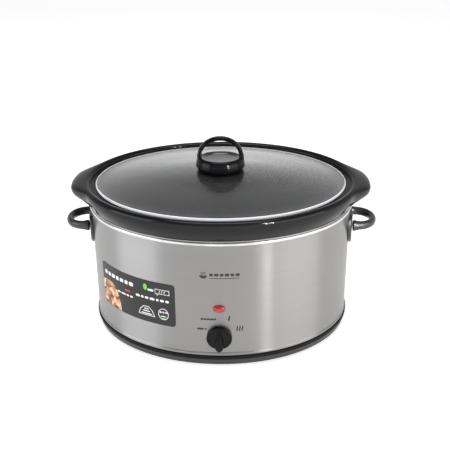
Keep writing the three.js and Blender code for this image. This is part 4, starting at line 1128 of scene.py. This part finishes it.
def frame_of(bm, points, width):
    """A closed outline of a given width: the face is inset, and its middle is taken away."""
    face = bm.faces.new([bm.verts.new((x, y, 0)) for x, y in points])
    face.normal_update()
    bmesh.ops.inset_region(bm, faces=[face], thickness=width, use_even_offset=True,
                             use_boundary=True)
    bmesh.ops.delete(bm, geom=[face], context="FACES")


def dashes(bm, start, stop, y, height, lengths):
    """A row of round-ended bars between two places, spaced like words."""
    gap = (stop - start - sum(lengths)) / (len(lengths) - 1)
    place = start
    for length in lengths:
        bar(bm, place + length / 2, y, length, height)
        place += length + gap


def label_card(bm):
    block(bm, LABEL_LEFT, LABEL_LOW, LABEL_RIGHT, LABEL_TOP, 5)


def label_white(bm):
    for i, width in enumerate((6.4, 5.4, 7.0, 5.8, 6.6, 5.4, 6.8)):
        middle = -173.4 + 8.5 * i
        block(bm, middle - width / 2, 104.8, middle + width / 2, 110.4, 1.2)
    dashes(bm, -115, -65.5, 94.6, 3.6, (6.5, 4.5, 5.5, 7.5, 4.0, 6.0, 5.0))
    dashes(bm, -149, -120, 88.2, 2.6, (6.5, 8.5, 5.0, 5.5))
    bar(bm, -91.4, 107.6, 9.0, 3.2)
    frame_of(bm, [(-85, 104.2), (-82.6, 104.2), (-82.0, 101.2), (-79.8, 104.2), (-64.6, 104.2),
                  (-64.6, 111.4), (-85, 111.4)], 0.8)
    for x in (-78.4, -75.0, -71.6):
        wave(bm, x, 107.8, 3.8, 0.3, 1.0, upright=True)
    frame_of(bm, [(-112, 67.4), (-86.2, 67.4), (-89.6, 76.0), (-95.0, 81.6), (-103.2, 81.6),
                  (-108.6, 76.0)], 1.0)
    for y, width in ((77.6, 7.0), (74.0, 11.0), (70.2, 16.0)):
        bar(bm, -99.1, y, width, 1.6)
    ring = [(-74 + 7.4 * math.cos(math.radians(15 * i)), 74.6 + 8.6 * math.sin(math.radians(15 * i)))
            for i in range(24)]
    frame_of(bm, ring, 0.9)
    dashes(bm, -79.4, -68.4, 77.4, 3.4, (3.0, 3.0, 3.0))
    bar(bm, -74, 71.2, 8.0, 1.4)


def label_green(bm):
    leaf = [(-102.6 + 3.0 * math.sin(math.radians(t)) + 3.2, 110.6 + 4.8 * math.cos(math.radians(t)))
            for t in range(0, 360, 24)]
    shape(bm, leaf)
    bar(bm, -74, 67.6, 8.5, 2.2)


def label_red(bm):
    bar(bm, -129.4, 95.4, 9.5, 2.0)


def label_stew(bm):
    shape(bm, [(-183.2, 93.6), (-183.2, 63.0), (-182.0, 59.6), (-178.6, 58.1), (-143.2, 58.1), (-143.6, 66.0),
               (-145.2, 75.0), (-148.4, 85.0), (-153.2, 92.6), (-159.0, 96.0), (-166.0, 97.0),
               (-175.0, 96.0)])


film("label_card", label_card, 0.04, 0.3, label_film, "label_film", "info_label")
film("label_stew", label_stew, 0.35, 0.03, stew_print(), "label_film")
film("label_white", label_white, 0.35, 0.03, white_print, "label_film")
film("label_green", label_green, 0.35, 0.03, green_print, "label_film")
film("label_red", label_red, 0.35, 0.03, red_print, "label_film")

# %% [markdown]
# ## Feet, gland and small turned parts
# These are small lathe work, so one helper makes them: a rubber foot and the ribbed gland where the cord
# would enter at the back. The gasket, washer and screw that hold the knob and show through the glass keep
# their engineering shape.

# %% Small turned parts
def turned_part(name, points, material, body, slot, node, at=(0, 0, 0), back=False, closed=False):
    bm = lathe(points, 64, closed)
    if back:
        bmesh.ops.rotate(bm, cent=(0, 0, 0), matrix=Matrix.Rotation(-math.pi / 2, 3, "X"), verts=bm.verts[:])
    bmesh.ops.translate(bm, vec=Vector(at) * MM + Vector((0, CENTRE_Y, 0)), verts=bm.verts[:])
    return fit(object_from(bm, name, material), body, slot, node)


foot_rubber = moulded("foot_rubber", (0.016, 0.016, 0.016), 0.7, 500, 0.05)
plated_steel = sheet_metal("plated_steel", (0.5, 0.51, 0.52), 0.3, 80)
foot_points = [
    (0, 0, 0),
    (11, 0, 1.1),
    (11, 4.7, 0.6),
    (3.7, 4.7, 0),
    (3.7, 7.9, 0),
    (5.1, 8.2, 0.3),
    (3.0, 12.1, 0.6),
    (0, 12.1, 0),
]
for node in ("foot_front_left", "foot_front_right", "foot_back_left", "foot_back_right"):
    side_x = 1 if node.endswith("right") else -1
    side_y = 1 if "back" in node else -1
    turned_part("rubber_" + node, foot_points, foot_rubber, "cooker", "foot_rubber", node,
                (side_x * FOOT_AT[0], side_y * FOOT_AT[1], 0))

GLAND_Z = 33.0
gland_points = [
    (3.6, -5.1, 0.3),
    (7.6, -5.1, 0.4),
    (7.6, -1.8, 0),
    (5.9, -1.8, 0),
    (5.9, 0.6, 0),
    (9.0, 0.6, 0),
    (9.0, 2.0, 0.5),
    (7.6, 3.4, 0.4),
    (3.6, 3.4, 0.5),
]
turned_part("cord_inlet", gland_points, tray_plastic, "cooker", "tray_plastic", "cord_gland",
            (0, oval_depth(shell_half(GLAND_Z)), GLAND_Z), back=True, closed=True)

# %% [markdown]
# ## Finishes for the inner parts
# The heater, blanket, shield, switch and screws keep their engineering shape. Nobody sees most of them, but
# a learner who opens the cooker should find honest materials: foil, ceramic fibre, zinc plate and nylon.

# %% Inner finishes
def fibre(name, color):
    material = principled(name, color, 0.95, 0.0, Sheen_Weight=0.4)
    nodes, links = nodes_of(material)
    mat = noise(material, 140, 8, (1, 1, 3), 0.7)
    dark = tuple(c * 0.7 for c in color)
    links.new(ramp(material, mat.outputs["Fac"], dark, color), nodes["Principled BSDF"].inputs["Base Color"])
    bump(material, mat.outputs["Fac"], 0.6)
    return material


heater_foil = sheet_metal("heater_foil", (0.6, 0.58, 0.54), 0.42, 90, (1, 1, 6))
shield_sheet = sheet_metal("shield_sheet", (0.55, 0.56, 0.57), 0.34)
blanket_fibre = fibre("blanket_fibre", (0.72, 0.68, 0.6))
cream_nylon = moulded("cream_nylon", (0.6, 0.57, 0.5), 0.45, 300, 0.01)
gasket_rubber = moulded("gasket_rubber", (0.03, 0.03, 0.03), 0.6, 600, 0.03)
inner_finishes = [
    (heater_foil, ["heater_band"]),
    (shield_sheet, ["heat_shield"]),
    (blanket_fibre, ["insulation_blanket"]),
    (cream_nylon, ["shield_sleeve", "rotary_switch", "neon_lamp", "lens_clip", "thermal_fuse",
                   "terminal_block"]),
    (gasket_rubber, ["knob_gasket"]),
    (plated_steel, ["tie_stud", "tie_nut", "tie_washer", "dial_shaft", "bush_nut", "knob_washer",
                    "knob_screw", "handle_screw_right_upper", "handle_screw_right_lower",
                    "handle_screw_left_upper", "handle_screw_left_lower"]),
]
for material, names in inner_finishes:
    for name in names:
        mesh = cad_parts[name].data
        mesh.materials.clear()
        mesh.materials.append(material)
    print(material.name, "on", len(names), "parts")
